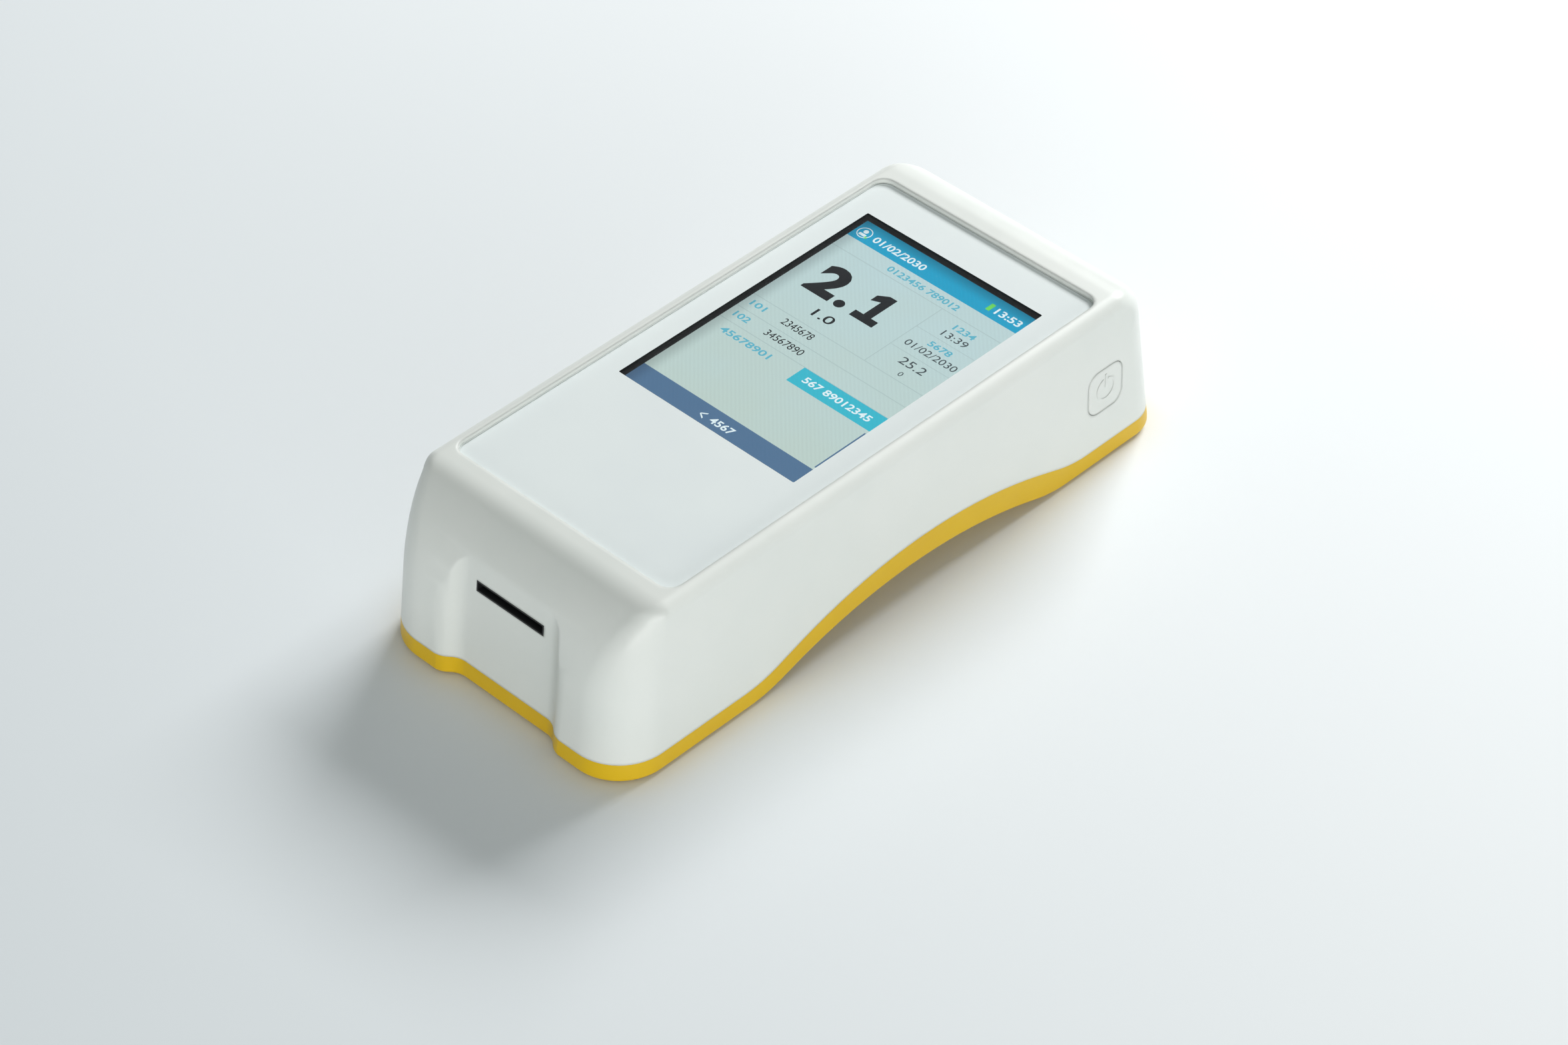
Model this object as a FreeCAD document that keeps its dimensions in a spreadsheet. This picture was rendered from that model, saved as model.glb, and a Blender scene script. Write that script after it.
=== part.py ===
import math
import os
import re

import FreeCAD
import Part
import Sketcher

# A hand-sized meter that reads a blood test chip: two moulded shells, a lens over a colour
# screen, a chip slot in the front and a power button in the right side. Millimetres.
# X is to the right, Y is towards the back, Z is up, and Z = 0 is the table.

# Driving sizes, one cell each. A word that ends in Side, Front or Rear and names a part is
# how far that part's edge or axis stands in from the same side of the body, so that it keeps
# its margin when the body changes. A word that ends in Share is a height as a part of the
# body's height.

CELLS = {
    # outer form
    "BodyLength": 165.5, "BodyWidth": 72.0, "BodyHeight": 41.1, "FootGap": 0.4,
    "SplitLevel": 5.05, "FrontLean": 5.3, "RearLean": 7.5, "SideDraft": 1.84,
    "FrontTopRound": 7.0, "RearTopRound": 12.0, "SideTopRound": 3.0,
    # raked brow that joins the front wall to the top
    "BrowShare": 0.732847, "BrowFront": 13.68, "BrowFlat": 0.7,
    "FrontCorner": 12.0, "RearCorner": 9.0, "Wall": 2.0, "FloorWall": 2.0, "BottomRound": 1.1,
    # how far a cutter runs past the surface that it opens
    "Beyond": 20.0,
    # the two arches along the sides: the parting line and the underside
    "SplitCentre": 5.55, "SplitShare": 0.231144, "SplitSlope": 18.3, "SplitCrown": 118.0,
    "SplitFoot": 30.0,
    "UnderCentre": 3.05, "UnderShare": 0.187348, "UnderSlope": 16.7, "UnderCrown": 124.0,
    "UnderFoot": 32.0,
    # hollow in the front face, with S-shaped flanks
    "HollowDepth": 2.75, "HollowLean": 6.25, "HollowHalf": 12.0, "HollowSweep": 7.0,
    "HollowFlare": 12.0, "HollowRun": 14.0,
    # slot for the chip, and the guide's black lip that lines it through the shell
    "SlotWidth": 18.9, "SlotHeight": 1.95, "SlotShare": 0.632603, "LipWall": 0.35, "LipGap": 0.05,
    # lens, print, adhesive and touch film
    "LensSide": 4.7, "LensFront": 19.6, "LensRear": 18.5, "LensThickness": 1.0, "LensDrop": 0.9,
    "LensCorner": 3.0, "LensGap": 0.3, "PrintThickness": 0.15, "GlueThickness": 0.3,
    "WindowSide": 11.0, "WindowFront": 60.9, "WindowRear": 29.8,
    "OpeningGap": 0.8, "LedgeThickness": 1.85,
    "TouchSide": 9.0, "TouchMargin": 2.6, "TouchThickness": 0.15,
    # screen and what carries it
    "PanelSide": 8.65, "PanelLip": 0.6, "PanelMargin": 3.2, "PanelThickness": 1.4,
    "BacklightReach": 5.3, "BacklightThickness": 1.8, "AirGap": 0.15,
    "BracketSide": 3.5, "BracketReach": 3.25, "BracketThickness": 1.0, "BracketCorner": 2.0,
    "BracketScrewSide": 5.6, "BracketScrewPitch": 62.0, "BracketScrewRadius": 0.8,
    "BracketBoss": 1.9, "FrameWidth": 6.0, "FrameEnd": 10.0,
    # main board
    "BoardShare": 0.448905, "BoardThickness": 1.6, "BoardSide": 5.5, "BoardFrontGap": 16.75,
    "BoardRearGap": 6.75, "NotchWidth": 9.0, "NotchLength": 10.0, "BoardScrewSide": 10.0,
    "BoardScrewFrontInset": 24.0, "BoardScrewRearInset": 26.0, "BoardScrewRadius": 1.0,
    "StandoffRadius": 2.6,
    # shell screws and foot pads
    "CaseScrewSide": 9.5, "CaseScrewEnd": 11.25, "CaseScrewRadius": 1.25,
    "CaseScrewReach": 15.0, "HeadRadius": 2.3, "HeadHeight": 1.6, "CaseBoss": 3.0, "BossJoint": 11.0,
    "PadRadius": 4.3, "PadThickness": 1.4, "ScrewGap": 0.05,
    # power button
    "ButtonWidth": 10.7, "ButtonHeight": 11.0, "ButtonCorner": 3.0, "ButtonRear": 19.5,
    "ButtonShare": 0.491484, "ButtonGap": 0.15, "ButtonDepth": 2.6, "FlangeReach": 0.9,
    "FlangeGap": 0.1, "FlangeThickness": 1.0, "StemRadius": 1.9, "ButtonTravel": 0.4,
    "SignRadius": 2.9, "SignLine": 0.5, "SignRelief": 0.12,
    # switch behind the button
    "SwitchDepth": 3.6, "SwitchWidth": 6.2, "SwitchHeight": 3.5, "SwitchBack": 0.8,
    "PlungerRadius": 1.2, "PlungerReach": 1.1, "PlungerGap": 0.04, "TouchGap": 0.06,
    # measuring station behind the slot
    "GuideWidth": 34.0, "GuideReach": 44.75, "GuideRoof": 2.925, "GuideSkirt": 4.0, "GuideDrop": 3.025,
    "ChannelReach": 41.75, "HousingGap": 0.3,
    "HeaterWidth": 15.0, "HeaterLength": 16.0, "HeaterThickness": 1.2, "HeaterFront": 24.75,
    "FilmThickness": 0.2, "SeatGap": 0.05,
    "OpticsWidth": 24.0, "OpticsLength": 24.0, "OpticsHeight": 3.8, "OpticsCorner": 1.5,
    "BarrelRadius": 3.5, "BarrelBelow": 1.6, "BarrelWall": 1.2, "SensorSide": 14.0,
    "SensorThickness": 0.9,
    "LampWidth": 12.0, "LampLength": 4.0, "LampThickness": 0.8, "LampOffset": 7.5,
    "LampSeat": 1.9, "LampPitch": 6.0,
    "GuideScrewPitch": 26.0, "GuideScrewShift": 2.0, "GuideScrewX": 15.0, "GuideScrewRadius": 0.9,
    # chip-detect lever
    "LeverX": 6.0, "LeverWidth": 2.0, "LeverFront": 35.25, "LeverDrop": 1.725, "LeverReach": 4.2,
    "LeverArm": 1.4, "LeverSideGap": 0.3, "LeverEndGap": 1.2, "PinRadius": 0.75, "PinGap": 0.05,
    "PinHalf": 3.5, "LeverHub": 1.35, "LeverNose": 0.9,
    "DetectWidth": 5.0, "DetectLength": 7.0, "DetectGap": 1.2,
    # parts on the board
    "ChipSide": 14.0, "ChipHeight": 1.4, "ChipCorner": 0.4,
    "RadioInset": 15.5, "RadioY": 20.0, "RadioWidth": 13.0, "RadioLength": 18.0, "RadioHeight": 2.2,
    "RadioCorner": 0.6,
    "BuzzerInset": 10.5, "BuzzerY": 22.0, "BuzzerRadius": 6.0, "BuzzerHeight": 3.2, "BuzzerPort": 1.0,
    "JackWidth": 8.94, "JackHeight": 3.26, "JackLength": 7.35, "JackInset": 0.9,
    "JackWall": 0.35, "JackCorner": 1.5, "JackGap": 0.25, "JackSeat": 0.05,
    "TongueHalf": 3.3, "TongueThickness": 0.7,
    "FlexWidth": 18.0, "FlexThickness": 0.2, "FlexBend": 1.4, "FlexLevel": 0.4, "FlexRun": 0.6,
    "SocketLength": 4.5, "SocketHeight": 2.2,
    # battery
    "BatteryWidth": 34.0, "BatteryLength": 50.0, "BatteryFront": 18.5, "BatteryShare": 0.228711,
    "BatteryRound": 1.6, "PadHeight": 1.85, "PadInset": 4.0,
    "PlugWidth": 8.0, "PlugLength": 6.0, "PlugHeight": 3.6, "PlugFront": 6.0,
    "LeadRadius": 0.6, "LeadPitch": 2.4, "LeadLevel": 0.4, "RibThickness": 1.6, "RibHeight": 2.0,
}

# Places worked out from the sizes, in words

PLACES = {
    "HalfLength": "BodyLength / 2",
    "HalfWidth": "BodyWidth / 2",
    "SplitRise": "BodyHeight * SplitShare",
    "UnderRise": "BodyHeight * UnderShare",
    # lens stack, from the top down
    "LensTop": "BodyHeight - LensDrop",
    "PrintTop": "LensTop - LensThickness",
    "GlueTop": "PrintTop - PrintThickness",
    "LedgeTop": "GlueTop - GlueThickness",
    "LedgeBottom": "LedgeTop - LedgeThickness",
    "LensHalf": "HalfWidth - LensSide",
    "LensStart": "LensFront - HalfLength",
    "LensEnd": "HalfLength - LensRear",
    "WindowHalf": "HalfWidth - WindowSide",
    "WindowStart": "WindowFront - HalfLength",
    "WindowEnd": "HalfLength - WindowRear",
    "TouchHalf": "HalfWidth - TouchSide",
    # screen and bracket
    "PanelTop": "LedgeTop - AirGap",
    "PanelHalf": "HalfWidth - PanelSide",
    "PanelRear": "WindowEnd + PanelMargin",
    "PanelFront": "WindowStart - PanelLip",
    "BacklightTop": "PanelTop - PanelThickness",
    "BacklightFront": "PanelFront - BacklightReach",
    "OpeningHalf": "PanelHalf + OpeningGap",
    "OpeningFront": "BacklightFront - OpeningGap",
    "OpeningRear": "PanelRear + OpeningGap",
    "OpeningCentre": "(OpeningFront + OpeningRear) / 2",
    "BracketTop": "BacklightTop - BacklightThickness",
    "BracketBottom": "BracketTop - BracketThickness",
    "BracketHalf": "HalfWidth - BracketSide",
    "BracketFront": "OpeningFront - BracketReach",
    "BracketRear": "OpeningRear + BracketReach",
    "BracketScrewX": "HalfWidth - BracketScrewSide",
    # main board
    "BoardTop": "BodyHeight * BoardShare",
    "BoardBottom": "BoardTop - BoardThickness",
    "BoardEdge": "HalfWidth - BoardSide",
    "BoardFront": "HalfLength - BoardFrontGap",
    "BoardRear": "HalfLength - BoardRearGap",
    "BoardScrewX": "HalfWidth - BoardScrewSide",
    "BoardScrewFront": "BoardFront - BoardScrewFrontInset",
    "BoardScrewRear": "BoardRear - BoardScrewRearInset",
    "RadioX": "BoardEdge - RadioInset",
    "BuzzerX": "BoardEdge - BuzzerInset",
    "JackRear": "HalfLength - (BoardTop - SplitLevel) * tan(RearLean) - Wall - JackInset",
    "BrowBottom": "BodyHeight * BrowShare",
    "BrowRise": "BodyHeight - BrowBottom",
    "BrowRun": "BrowFront - (BrowBottom - SplitLevel) * tan(FrontLean)",
    "BrowRake": "atan(BrowRun / BrowRise) / 1 deg",
    "BrowRound": "(sqrt(BrowRun ^ 2 + BrowRise ^ 2) - BrowFlat - FrontTopRound * tan((90 - BrowRake) / 2))"
                 " / tan((BrowRake - FrontLean) / 2)",
    # shell screws
    "CaseScrewX": "HalfWidth - CaseScrewSide",
    "CaseScrewY": "HalfLength - CaseScrewEnd",
    "HeadSeat": "PadThickness + HeadHeight",
    # slot and measuring station
    "SlotLevel": "BodyHeight * SlotShare",
    "SlotBottom": "SlotLevel - SlotHeight / 2",
    "SlotTop": "SlotLevel + SlotHeight / 2",
    "HollowFloor": "HalfLength - HollowDepth",
    "GuideBottom": "BoardTop",
    "GuideTop": "SlotTop + GuideRoof",
    "GuideFloor": "SlotBottom - GuideDrop",
    "GuideRear": "HalfLength - GuideReach",
    "ChannelEnd": "HalfLength - ChannelReach",
    "HeaterCentre": "HalfLength - HeaterFront",
    "OpticsCentre": "HeaterCentre",
    "OpticsTop": "GuideTop + OpticsHeight",
    "LeverPivotY": "HalfLength - LeverFront",
    "LeverPivotLevel": "SlotBottom - LeverDrop",
    # power button
    "ButtonY": "HalfLength - ButtonRear",
    "ButtonLevel": "BodyHeight * ButtonShare",
    "ButtonFace": "HalfWidth - (ButtonLevel - SplitLevel) * tan(SideDraft)",
    "FlangeOuter": "ButtonFace - Wall - FlangeGap",
    "SwitchFace": "BoardEdge",
    "SwitchLevel": "BoardTop + SwitchHeight / 2",
    "PlungerTip": "SwitchFace + PlungerReach",
    "PlungerEnd": "SwitchFace - SwitchDepth + SwitchBack",
    # battery
    "BatteryLevel": "BodyHeight * BatteryShare",
    "BatteryTop": "BoardBottom - PadHeight",
    "BatteryRear": "BatteryFront + BatteryLength",
}


def full(text):
    """Spell a size out in the sheet's own cells, derived places first."""
    def spell(match):
        word = match.group(0)
        if word in PLACES:
            return "(" + full(PLACES[word]) + ")"
        return "Sizes." + word if word in CELLS else word
    return re.sub(r"[A-Za-z]+", spell, str(text))


doc = FreeCAD.newDocument("inr_meter")
sheet = doc.addObject("Spreadsheet::Sheet", "Sizes")
for row, (word, number) in enumerate(CELLS.items(), 1):
    sheet.set("A%d" % row, word)
    sheet.set("B%d" % row, str(number))
    sheet.setAlias("B%d" % row, word)
doc.recompute()


def value(text):
    """The number that an expression in the sheet's words comes to."""
    answer = sheet.evalExpression(full(text))
    return float(getattr(answer, "Value", answer))


def vec(x, y, z):
    return FreeCAD.Vector(value(x), value(y), value(z))


# Helpers for document objects

def box(name, x, y, z):
    """A block from three pairs of low and high expressions."""
    item = doc.addObject("Part::Box", name)
    for side, axis, (low, high) in (("Length", "x", x), ("Width", "y", y), ("Height", "z", z)):
        item.setExpression(side, full("(%s) - (%s)" % (high, low)))
        item.setExpression("Placement.Base." + axis, full(low))
    return item


def rod(name, radius, low, high, x="0", y="0", z="0", axis="z"):
    """A cylinder along one axis, from low to high, through the other two places."""
    item = doc.addObject("Part::Cylinder", name)
    turn = {"x": ((0, 1, 0), 90), "y": ((1, 0, 0), -90), "z": ((0, 0, 1), 0)}[axis]
    item.Placement.Rotation = FreeCAD.Rotation(FreeCAD.Vector(*turn[0]), turn[1])
    item.setExpression("Radius", full(radius))
    item.setExpression("Height", full("(%s) - (%s)" % (high, low)))
    places = {"x": x, "y": y, "z": z}
    places[axis] = low
    for key, text in places.items():
        item.setExpression("Placement.Base." + key, full(text))
    return item


def cut(name, base, *tools):
    item = doc.addObject("Part::Cut", name)
    item.Base = base
    item.Tool = tools[0] if len(tools) == 1 else fuse(name + "_tools", *tools)
    return item


def fuse(name, *parts):
    item = doc.addObject("Part::MultiFuse", name)
    item.Shapes = list(parts)
    return item


def common(name, *parts):
    item = doc.addObject("Part::MultiCommon", name)
    item.Shapes = list(parts)
    return item


def group(name, *parts):
    """Separate solids kept side by side in one piece's group."""
    item = doc.addObject("Part::Compound", name)
    item.Links = list(parts)
    return item


def shaped(name, shape):
    item = doc.addObject("Part::Feature", name)
    item.Shape = shape
    return item


def origin_plane(body, role):
    return [plane for plane in body.Origin.OriginFeatures if plane.Role == role][0]


def slab(name, role, outline, low, high, rounds=()):
    """A padded polygon: outline is pairs of expressions on the plane, rounds is (radius, test)."""
    body = doc.addObject("PartDesign::Body", name)
    sketch = body.newObject("Sketcher::SketchObject", name + "_outline")
    sketch.AttachmentSupport = (origin_plane(body, role), [""])
    sketch.MapMode = "FlatFace"
    sketch.setExpression("AttachmentOffset.Base.z", full(low))
    corners = [FreeCAD.Vector(value(u), value(v), 0) for u, v in outline]
    count = len(corners)
    for i in range(count):
        sketch.addGeometry(Part.LineSegment(corners[i], corners[(i + 1) % count]), False)
    for i in range(count):
        sketch.addConstraint(Sketcher.Constraint("Coincident", i, 2, (i + 1) % count, 1))
    for i, (u, v) in enumerate(outline):
        for kind, text, number in (("DistanceX", u, corners[i].x), ("DistanceY", v, corners[i].y)):
            at = sketch.addConstraint(Sketcher.Constraint(kind, -1, 1, i, 1, number))
            sketch.setExpression("Constraints[%d]" % at, full(text))
    pad = body.newObject("PartDesign::Pad", name + "_pad")
    pad.Profile = sketch
    pad.setExpression("Length", full("(%s) - (%s)" % (high, low)))
    doc.recompute()
    tip = pad
    for number, (radius, test) in enumerate(rounds):
        edges = ["Edge%d" % (i + 1) for i, edge in enumerate(tip.Shape.Edges) if test(edge)]
        step = body.newObject("PartDesign::Fillet", "%s_round%d" % (name, number))
        step.Base = (tip, edges)
        step.setExpression("Radius", full(radius))
        doc.recompute()
        tip = step
    body.Tip = tip
    return body


def rectangle(x0, x1, y0, y1):
    return [(x0, y0), (x1, y0), (x1, y1), (x0, y1)]


def along(axis):
    """A test for straight edges that run along one axis."""
    def test(edge):
        step = edge.Vertexes[-1].Point - edge.Vertexes[0].Point
        return abs(getattr(step, axis)) > 0.999 * step.Length > 0
    return test


def plate(name, x, y, z, corner):
    """A flat rectangle with rounded corners, as a padded sketch."""
    return slab(name, "XY_Plane", rectangle(*x, *y), z[0], z[1], [(corner, along("z"))])


# Outer form: a leaning side outline crossed with a drafted end outline

def end_profile(kind, inset):
    """An end wall's outline from below upwards: leaning lines, each with the round that follows.

    A line has a tilt from upright, a point (place, height) on it and the height where it ends;
    a round has a centre and a radius, and ends where the next line begins.
    """
    half, split, crown = value("HalfLength"), value("SplitLevel"), value("BodyHeight")
    lean = math.radians(value(kind + "Lean"))
    corners = [(half, split, lean)]
    rounds = [value(kind + "TopRound")]
    if kind == "Front":
        low = value("BrowBottom")
        rake = math.radians(value("BrowRake"))
        corners.append((half - (low - split) * math.tan(lean), low, rake))
        rounds.insert(0, value("BrowRound"))
    pieces = []
    for i, (place, level, tilt) in enumerate(corners):
        following = corners[i + 1][2] if i + 1 < len(corners) else math.pi / 2
        if i + 1 < len(corners):
            end_at, end_level = corners[i + 1][:2]
        else:
            end_level = crown
            end_at = place - (crown - level) * math.tan(tilt)
        tangent = rounds[i] * math.tan((following - tilt) / 2)
        touch = (end_at + tangent * math.sin(tilt), end_level - tangent * math.cos(tilt))
        centre = (touch[0] - rounds[i] * math.cos(tilt), touch[1] - rounds[i] * math.sin(tilt))
        radius = rounds[i] - inset
        pieces.append({
            "tilt": tilt, "place": place - inset / math.cos(tilt), "level": level,
            "top": centre[1] + radius * math.sin(tilt), "centre": centre, "radius": radius,
            "end": centre[1] + radius * math.sin(following)})
    return pieces


def end_place(kind, inset, level):
    """How far an end wall stands from the middle at one height, on its lines and rounds."""
    for piece in end_profile(kind, inset):
        if level <= piece["top"]:
            return piece["place"] - (level - piece["level"]) * math.tan(piece["tilt"])
        if level <= piece["end"]:
            return piece["centre"][0] + math.sqrt(piece["radius"] ** 2 - (level - piece["centre"][1]) ** 2)


def form(name, base, top):
    """The body's outer form, from base to top, with its top, corner and end rounds.

    The side outline leans in at both ends, the end outline drafts in at both sides, and their
    common solid is rounded along each side with a radius that changes over the end rounds.
    """
    def lean(side, level):
        return "HalfLength - (%s - SplitLevel) * tan(%sLean)" % (level, side)

    def top_edge(sign):
        return lambda e: along("x")(e) and e.CenterOfMass.z > value(top) - 1 and e.CenterOfMass.y * sign > 0

    def brow_edge(e):
        return along("x")(e) and e.CenterOfMass.y < 0 and abs(e.CenterOfMass.z - value("BrowBottom")) < 0.1

    side = slab(name + "_side", "YZ_Plane", [
        ("0 - (%s)" % lean("Front", base), base), (lean("Rear", base), base),
        (lean("Rear", top), top), ("BrowFront - HalfLength", top),
        ("0 - (%s)" % lean("Front", "BrowBottom"), "BrowBottom"),
    ], "0 - BodyWidth", "BodyWidth", [
        ("FrontTopRound", top_edge(-1)), ("BrowRound", brow_edge), ("RearTopRound", top_edge(1))])
    low = "(HalfWidth - (%s - SplitLevel) * tan(SideDraft))" % base
    high = "(HalfWidth - (%s - SplitLevel) * tan(SideDraft))" % top
    ends = slab(name + "_ends", "XZ_Plane", [
        ("0 - " + low, base), (low, base), (high, top), ("0 - " + high, top),
    ], "0 - BodyLength", "BodyLength")
    block = common(name + "_block", side, ends)
    doc.recompute()
    step = doc.addObject("Part::Fillet", name)
    step.Base = block
    step.Edges = corner_radii(block.Shape, value(base), value(top))
    doc.recompute()
    return step


def corner_radii(shape, floor, ceiling):
    """Edge number and radius at each end, for every edge between a side and the ends or top.

    The end rounds come first, so that the edges of constant radius settle their shared ends.
    """
    crest = value("SideTopRound")
    changing, constant = [], []
    for number, edge in enumerate(shape.Edges, 1):
        first, last = edge.Vertexes[0].Point, edge.Vertexes[-1].Point
        if along("x")(edge) or max(first.z, last.z) < floor + 0.1:
            continue
        if min(first.z, last.z) > ceiling - 0.01:
            constant.append((number, crest, crest))
            continue
        kind = "Front" if edge.CenterOfMass.y < 0 else "Rear"
        corner, bend = value(kind + "Corner"), end_profile(kind, 0.0)[0]["top"]
        sizes = [corner if point.z < bend + 0.01 else
                 crest + (corner - crest) * math.sqrt(max(ceiling - point.z, 0.0) / (ceiling - bend))
                 for point in (first, last)]
        (constant if abs(sizes[0] - sizes[1]) < 1e-6 else changing).append((number, *sizes))
    return changing + constant


skin = form("skin", "FootGap", "BodyHeight")


def ring(front, rear, half, front_corner, rear_corner, level):
    """A closed rectangle with rounded corners at one height."""
    def corner(x, y, radius):
        sx, sy = math.copysign(1, x), math.copysign(1, y)
        centre = FreeCAD.Vector(x - sx * radius, y - sy * radius, level)
        diagonal = radius / math.sqrt(2)
        ends = [centre + FreeCAD.Vector(sx * radius, 0, 0), centre + FreeCAD.Vector(0, sy * radius, 0)]
        if sx * sy < 0:
            ends.reverse()
        return ends[0], centre + FreeCAD.Vector(sx * diagonal, sy * diagonal, 0), ends[1]

    arcs = [corner(half, rear, rear_corner), corner(-half, rear, rear_corner),
            corner(-half, -front, front_corner), corner(half, -front, front_corner)]
    curves = []
    for i, arc in enumerate(arcs):
        curves.append(Part.Arc(*arc))
        curves.append(Part.LineSegment(arc[2], arcs[(i + 1) % 4][0]))
    return Part.Wire([curve.toShape() for curve in curves])


def room(name, inset, ceiling="LedgeBottom"):
    """The space inside the shells: the outer form brought in by a wall, up to the ledge."""
    depth, top = value(inset), value(ceiling)
    start = end_profile("Front", depth)[0]["top"]
    steps = 8
    levels = [value("0 - Beyond / 4")] + [start + (top - start) * i / steps for i in range(steps + 1)]
    draft = math.radians(value("SideDraft"))
    rings = []
    for level in levels:
        half = value("HalfWidth") - depth / math.cos(draft) - (level - value("SplitLevel")) * math.tan(draft)
        rings.append(ring(end_place("Front", depth, level), end_place("Rear", depth, level), half,
                          value("FrontCorner") - depth, value("RearCorner") - depth, level))
    return shaped(name, Part.makeLoft(rings, True, True))


cavity = room("cavity", "Wall")
guide_room = room("guide_room", "Wall + HousingGap")
flange_room = room("flange_room", "Wall + FlangeGap")
boss_room = room("boss_room", "Wall / 2", "LedgeBottom + 0.5")


# Arches: a crown arc, two straight flanks and two foot arcs, all tangent

def arch_below(name, kind, base, lift, floor):
    """The space under an arch curve, as wide as the body and open downwards."""
    centre, rise = value(kind + "Centre"), value(kind + "Rise")
    slope = math.radians(value(kind + "Slope"))
    crown, foot = value(kind + "Crown") + value(lift), value(kind + "Foot") - value(lift)
    flank = (rise - (crown + foot) * (1 - math.cos(slope))) / math.sin(slope)
    level, depth, half = value(base) + value(lift), value(floor), value("BodyWidth")

    def mirrored(points):
        return [FreeCAD.Vector(-half, 2 * centre - p.y, p.z) for p in reversed(points)]

    def arc_points(middle_y, middle_z, radius, start, end):
        angles = (start, (start + end) / 2, end)
        return [FreeCAD.Vector(-half, middle_y + radius * math.sin(a), middle_z + radius * math.cos(a))
                for a in angles]

    crown_z = level + rise - crown
    top_right = arc_points(centre, crown_z, crown, 0, slope)
    shoulder = top_right[-1] + FreeCAD.Vector(0, flank * math.cos(slope), -flank * math.sin(slope))
    foot_y, foot_z = shoulder.y + foot * math.sin(slope), level + foot
    foot_right = arc_points(foot_y, foot_z, -foot, slope, 0)
    far = value("BodyLength")
    pieces = [Part.Arc(*top_right), Part.LineSegment(top_right[-1], foot_right[0]), Part.Arc(*foot_right)]
    left = [Part.Arc(*mirrored(foot_right)), Part.LineSegment(*mirrored([top_right[-1], foot_right[0]])),
            Part.Arc(*mirrored(top_right))]
    start, end = mirrored(foot_right)[0], foot_right[-1]
    rim = [FreeCAD.Vector(-half, far, level), FreeCAD.Vector(-half, far, depth),
           FreeCAD.Vector(-half, -far, depth), FreeCAD.Vector(-half, -far, level)]
    closing = [Part.LineSegment(end, rim[0]), Part.LineSegment(rim[0], rim[1]),
               Part.LineSegment(rim[1], rim[2]), Part.LineSegment(rim[2], rim[3]),
               Part.LineSegment(rim[3], start)]
    wire = Part.Wire([curve.toShape() for curve in left + pieces + closing])
    return shaped(name, Part.Face(wire).extrude(FreeCAD.Vector(2 * half, 0, 0)))


below_split = arch_below("below_split", "Split", "SplitLevel", "0", "0 - Beyond")
under_arch = arch_below("under_arch", "Under", "FootGap", "0", "0 - Beyond")
inner_floor = arch_below("inner_floor", "Under", "FootGap", "FloorWall", "0 - Beyond")


# Hollow in the front: a flat floor that leans back, with an S curve each side

def front_hollow(name, inward, margin):
    """A prism along the leaning floor; inward moves its floor into the body, margin widens it."""
    floor, depth = value("0 - HollowFloor") + inward, value("HollowDepth")
    half, sweep = value("HollowHalf") + margin, value("HollowSweep")
    flare = math.radians(value("HollowFlare"))
    bend = (sweep ** 2 + depth ** 2) / (4 * depth)
    steep = 2 * math.atan2(depth, sweep)
    outer = value("BodyLength")

    inner = [(half + bend * math.sin(a), floor - bend * (1 - math.cos(a))) for a in (0, steep / 2, steep)]
    crest_x, crest_y = half + sweep, floor - depth
    lip = [(crest_x - bend * math.sin(a), crest_y + bend * (1 - math.cos(a)))
           for a in (steep, (steep + flare) / 2, flare)]
    run = value("HollowRun")
    out = (lip[-1][0] + run, lip[-1][1] - run * math.tan(flare))
    low = value("0 - Beyond / 2")
    lean = math.tan(math.radians(value("HollowLean")))
    shift = (low - value("SplitLevel")) * lean

    def at(x, y):
        return FreeCAD.Vector(x, y + shift, low)

    def arc_of(points):
        return Part.Arc(*[at(*p) for p in points])

    def flip(points):
        return [(-x, y) for x, y in reversed(points)]

    curves = [Part.LineSegment(at(-half, floor), at(half, floor)), arc_of(inner), arc_of(lip),
              Part.LineSegment(at(*lip[-1]), at(*out)),
              Part.LineSegment(at(*out), at(out[0], -outer)),
              Part.LineSegment(at(out[0], -outer), at(-out[0], -outer)),
              Part.LineSegment(at(-out[0], -outer), at(-out[0], out[1])),
              Part.LineSegment(at(-out[0], out[1]), at(-lip[-1][0], lip[-1][1])),
              arc_of(flip(lip)), arc_of(flip(inner))]
    wire = Part.Wire([curve.toShape() for curve in curves])
    height = value("BodyHeight + Beyond")
    return shaped(name, Part.Face(wire).extrude(FreeCAD.Vector(0, height * lean, height)))


hollow = front_hollow("hollow", 0.0, 0.0)
hollow_wall = front_hollow("hollow_wall", value("Wall"), 1.0)
room_wall = front_hollow("room_wall", value("Wall + HousingGap"), 1.0)
outside = cut("outside", skin, hollow)
inside = cut("inside", cavity, hollow_wall)


# Upper housing

def at_case_screws(make):
    """One object at each of the four shell screws."""
    made = []
    for side in ("0 - CaseScrewX", "CaseScrewX"):
        for row in ("0 - CaseScrewY", "CaseScrewY"):
            made.append(make("_%d" % len(made), side, row))
    return made


def at_bracket_screws(make):
    made = []
    for side in ("0 - BracketScrewX", "BracketScrewX"):
        for row in ("OpeningCentre - BracketScrewPitch / 2", "OpeningCentre + BracketScrewPitch / 2"):
            made.append(make("_%d" % len(made), side, row))
    return made


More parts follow.
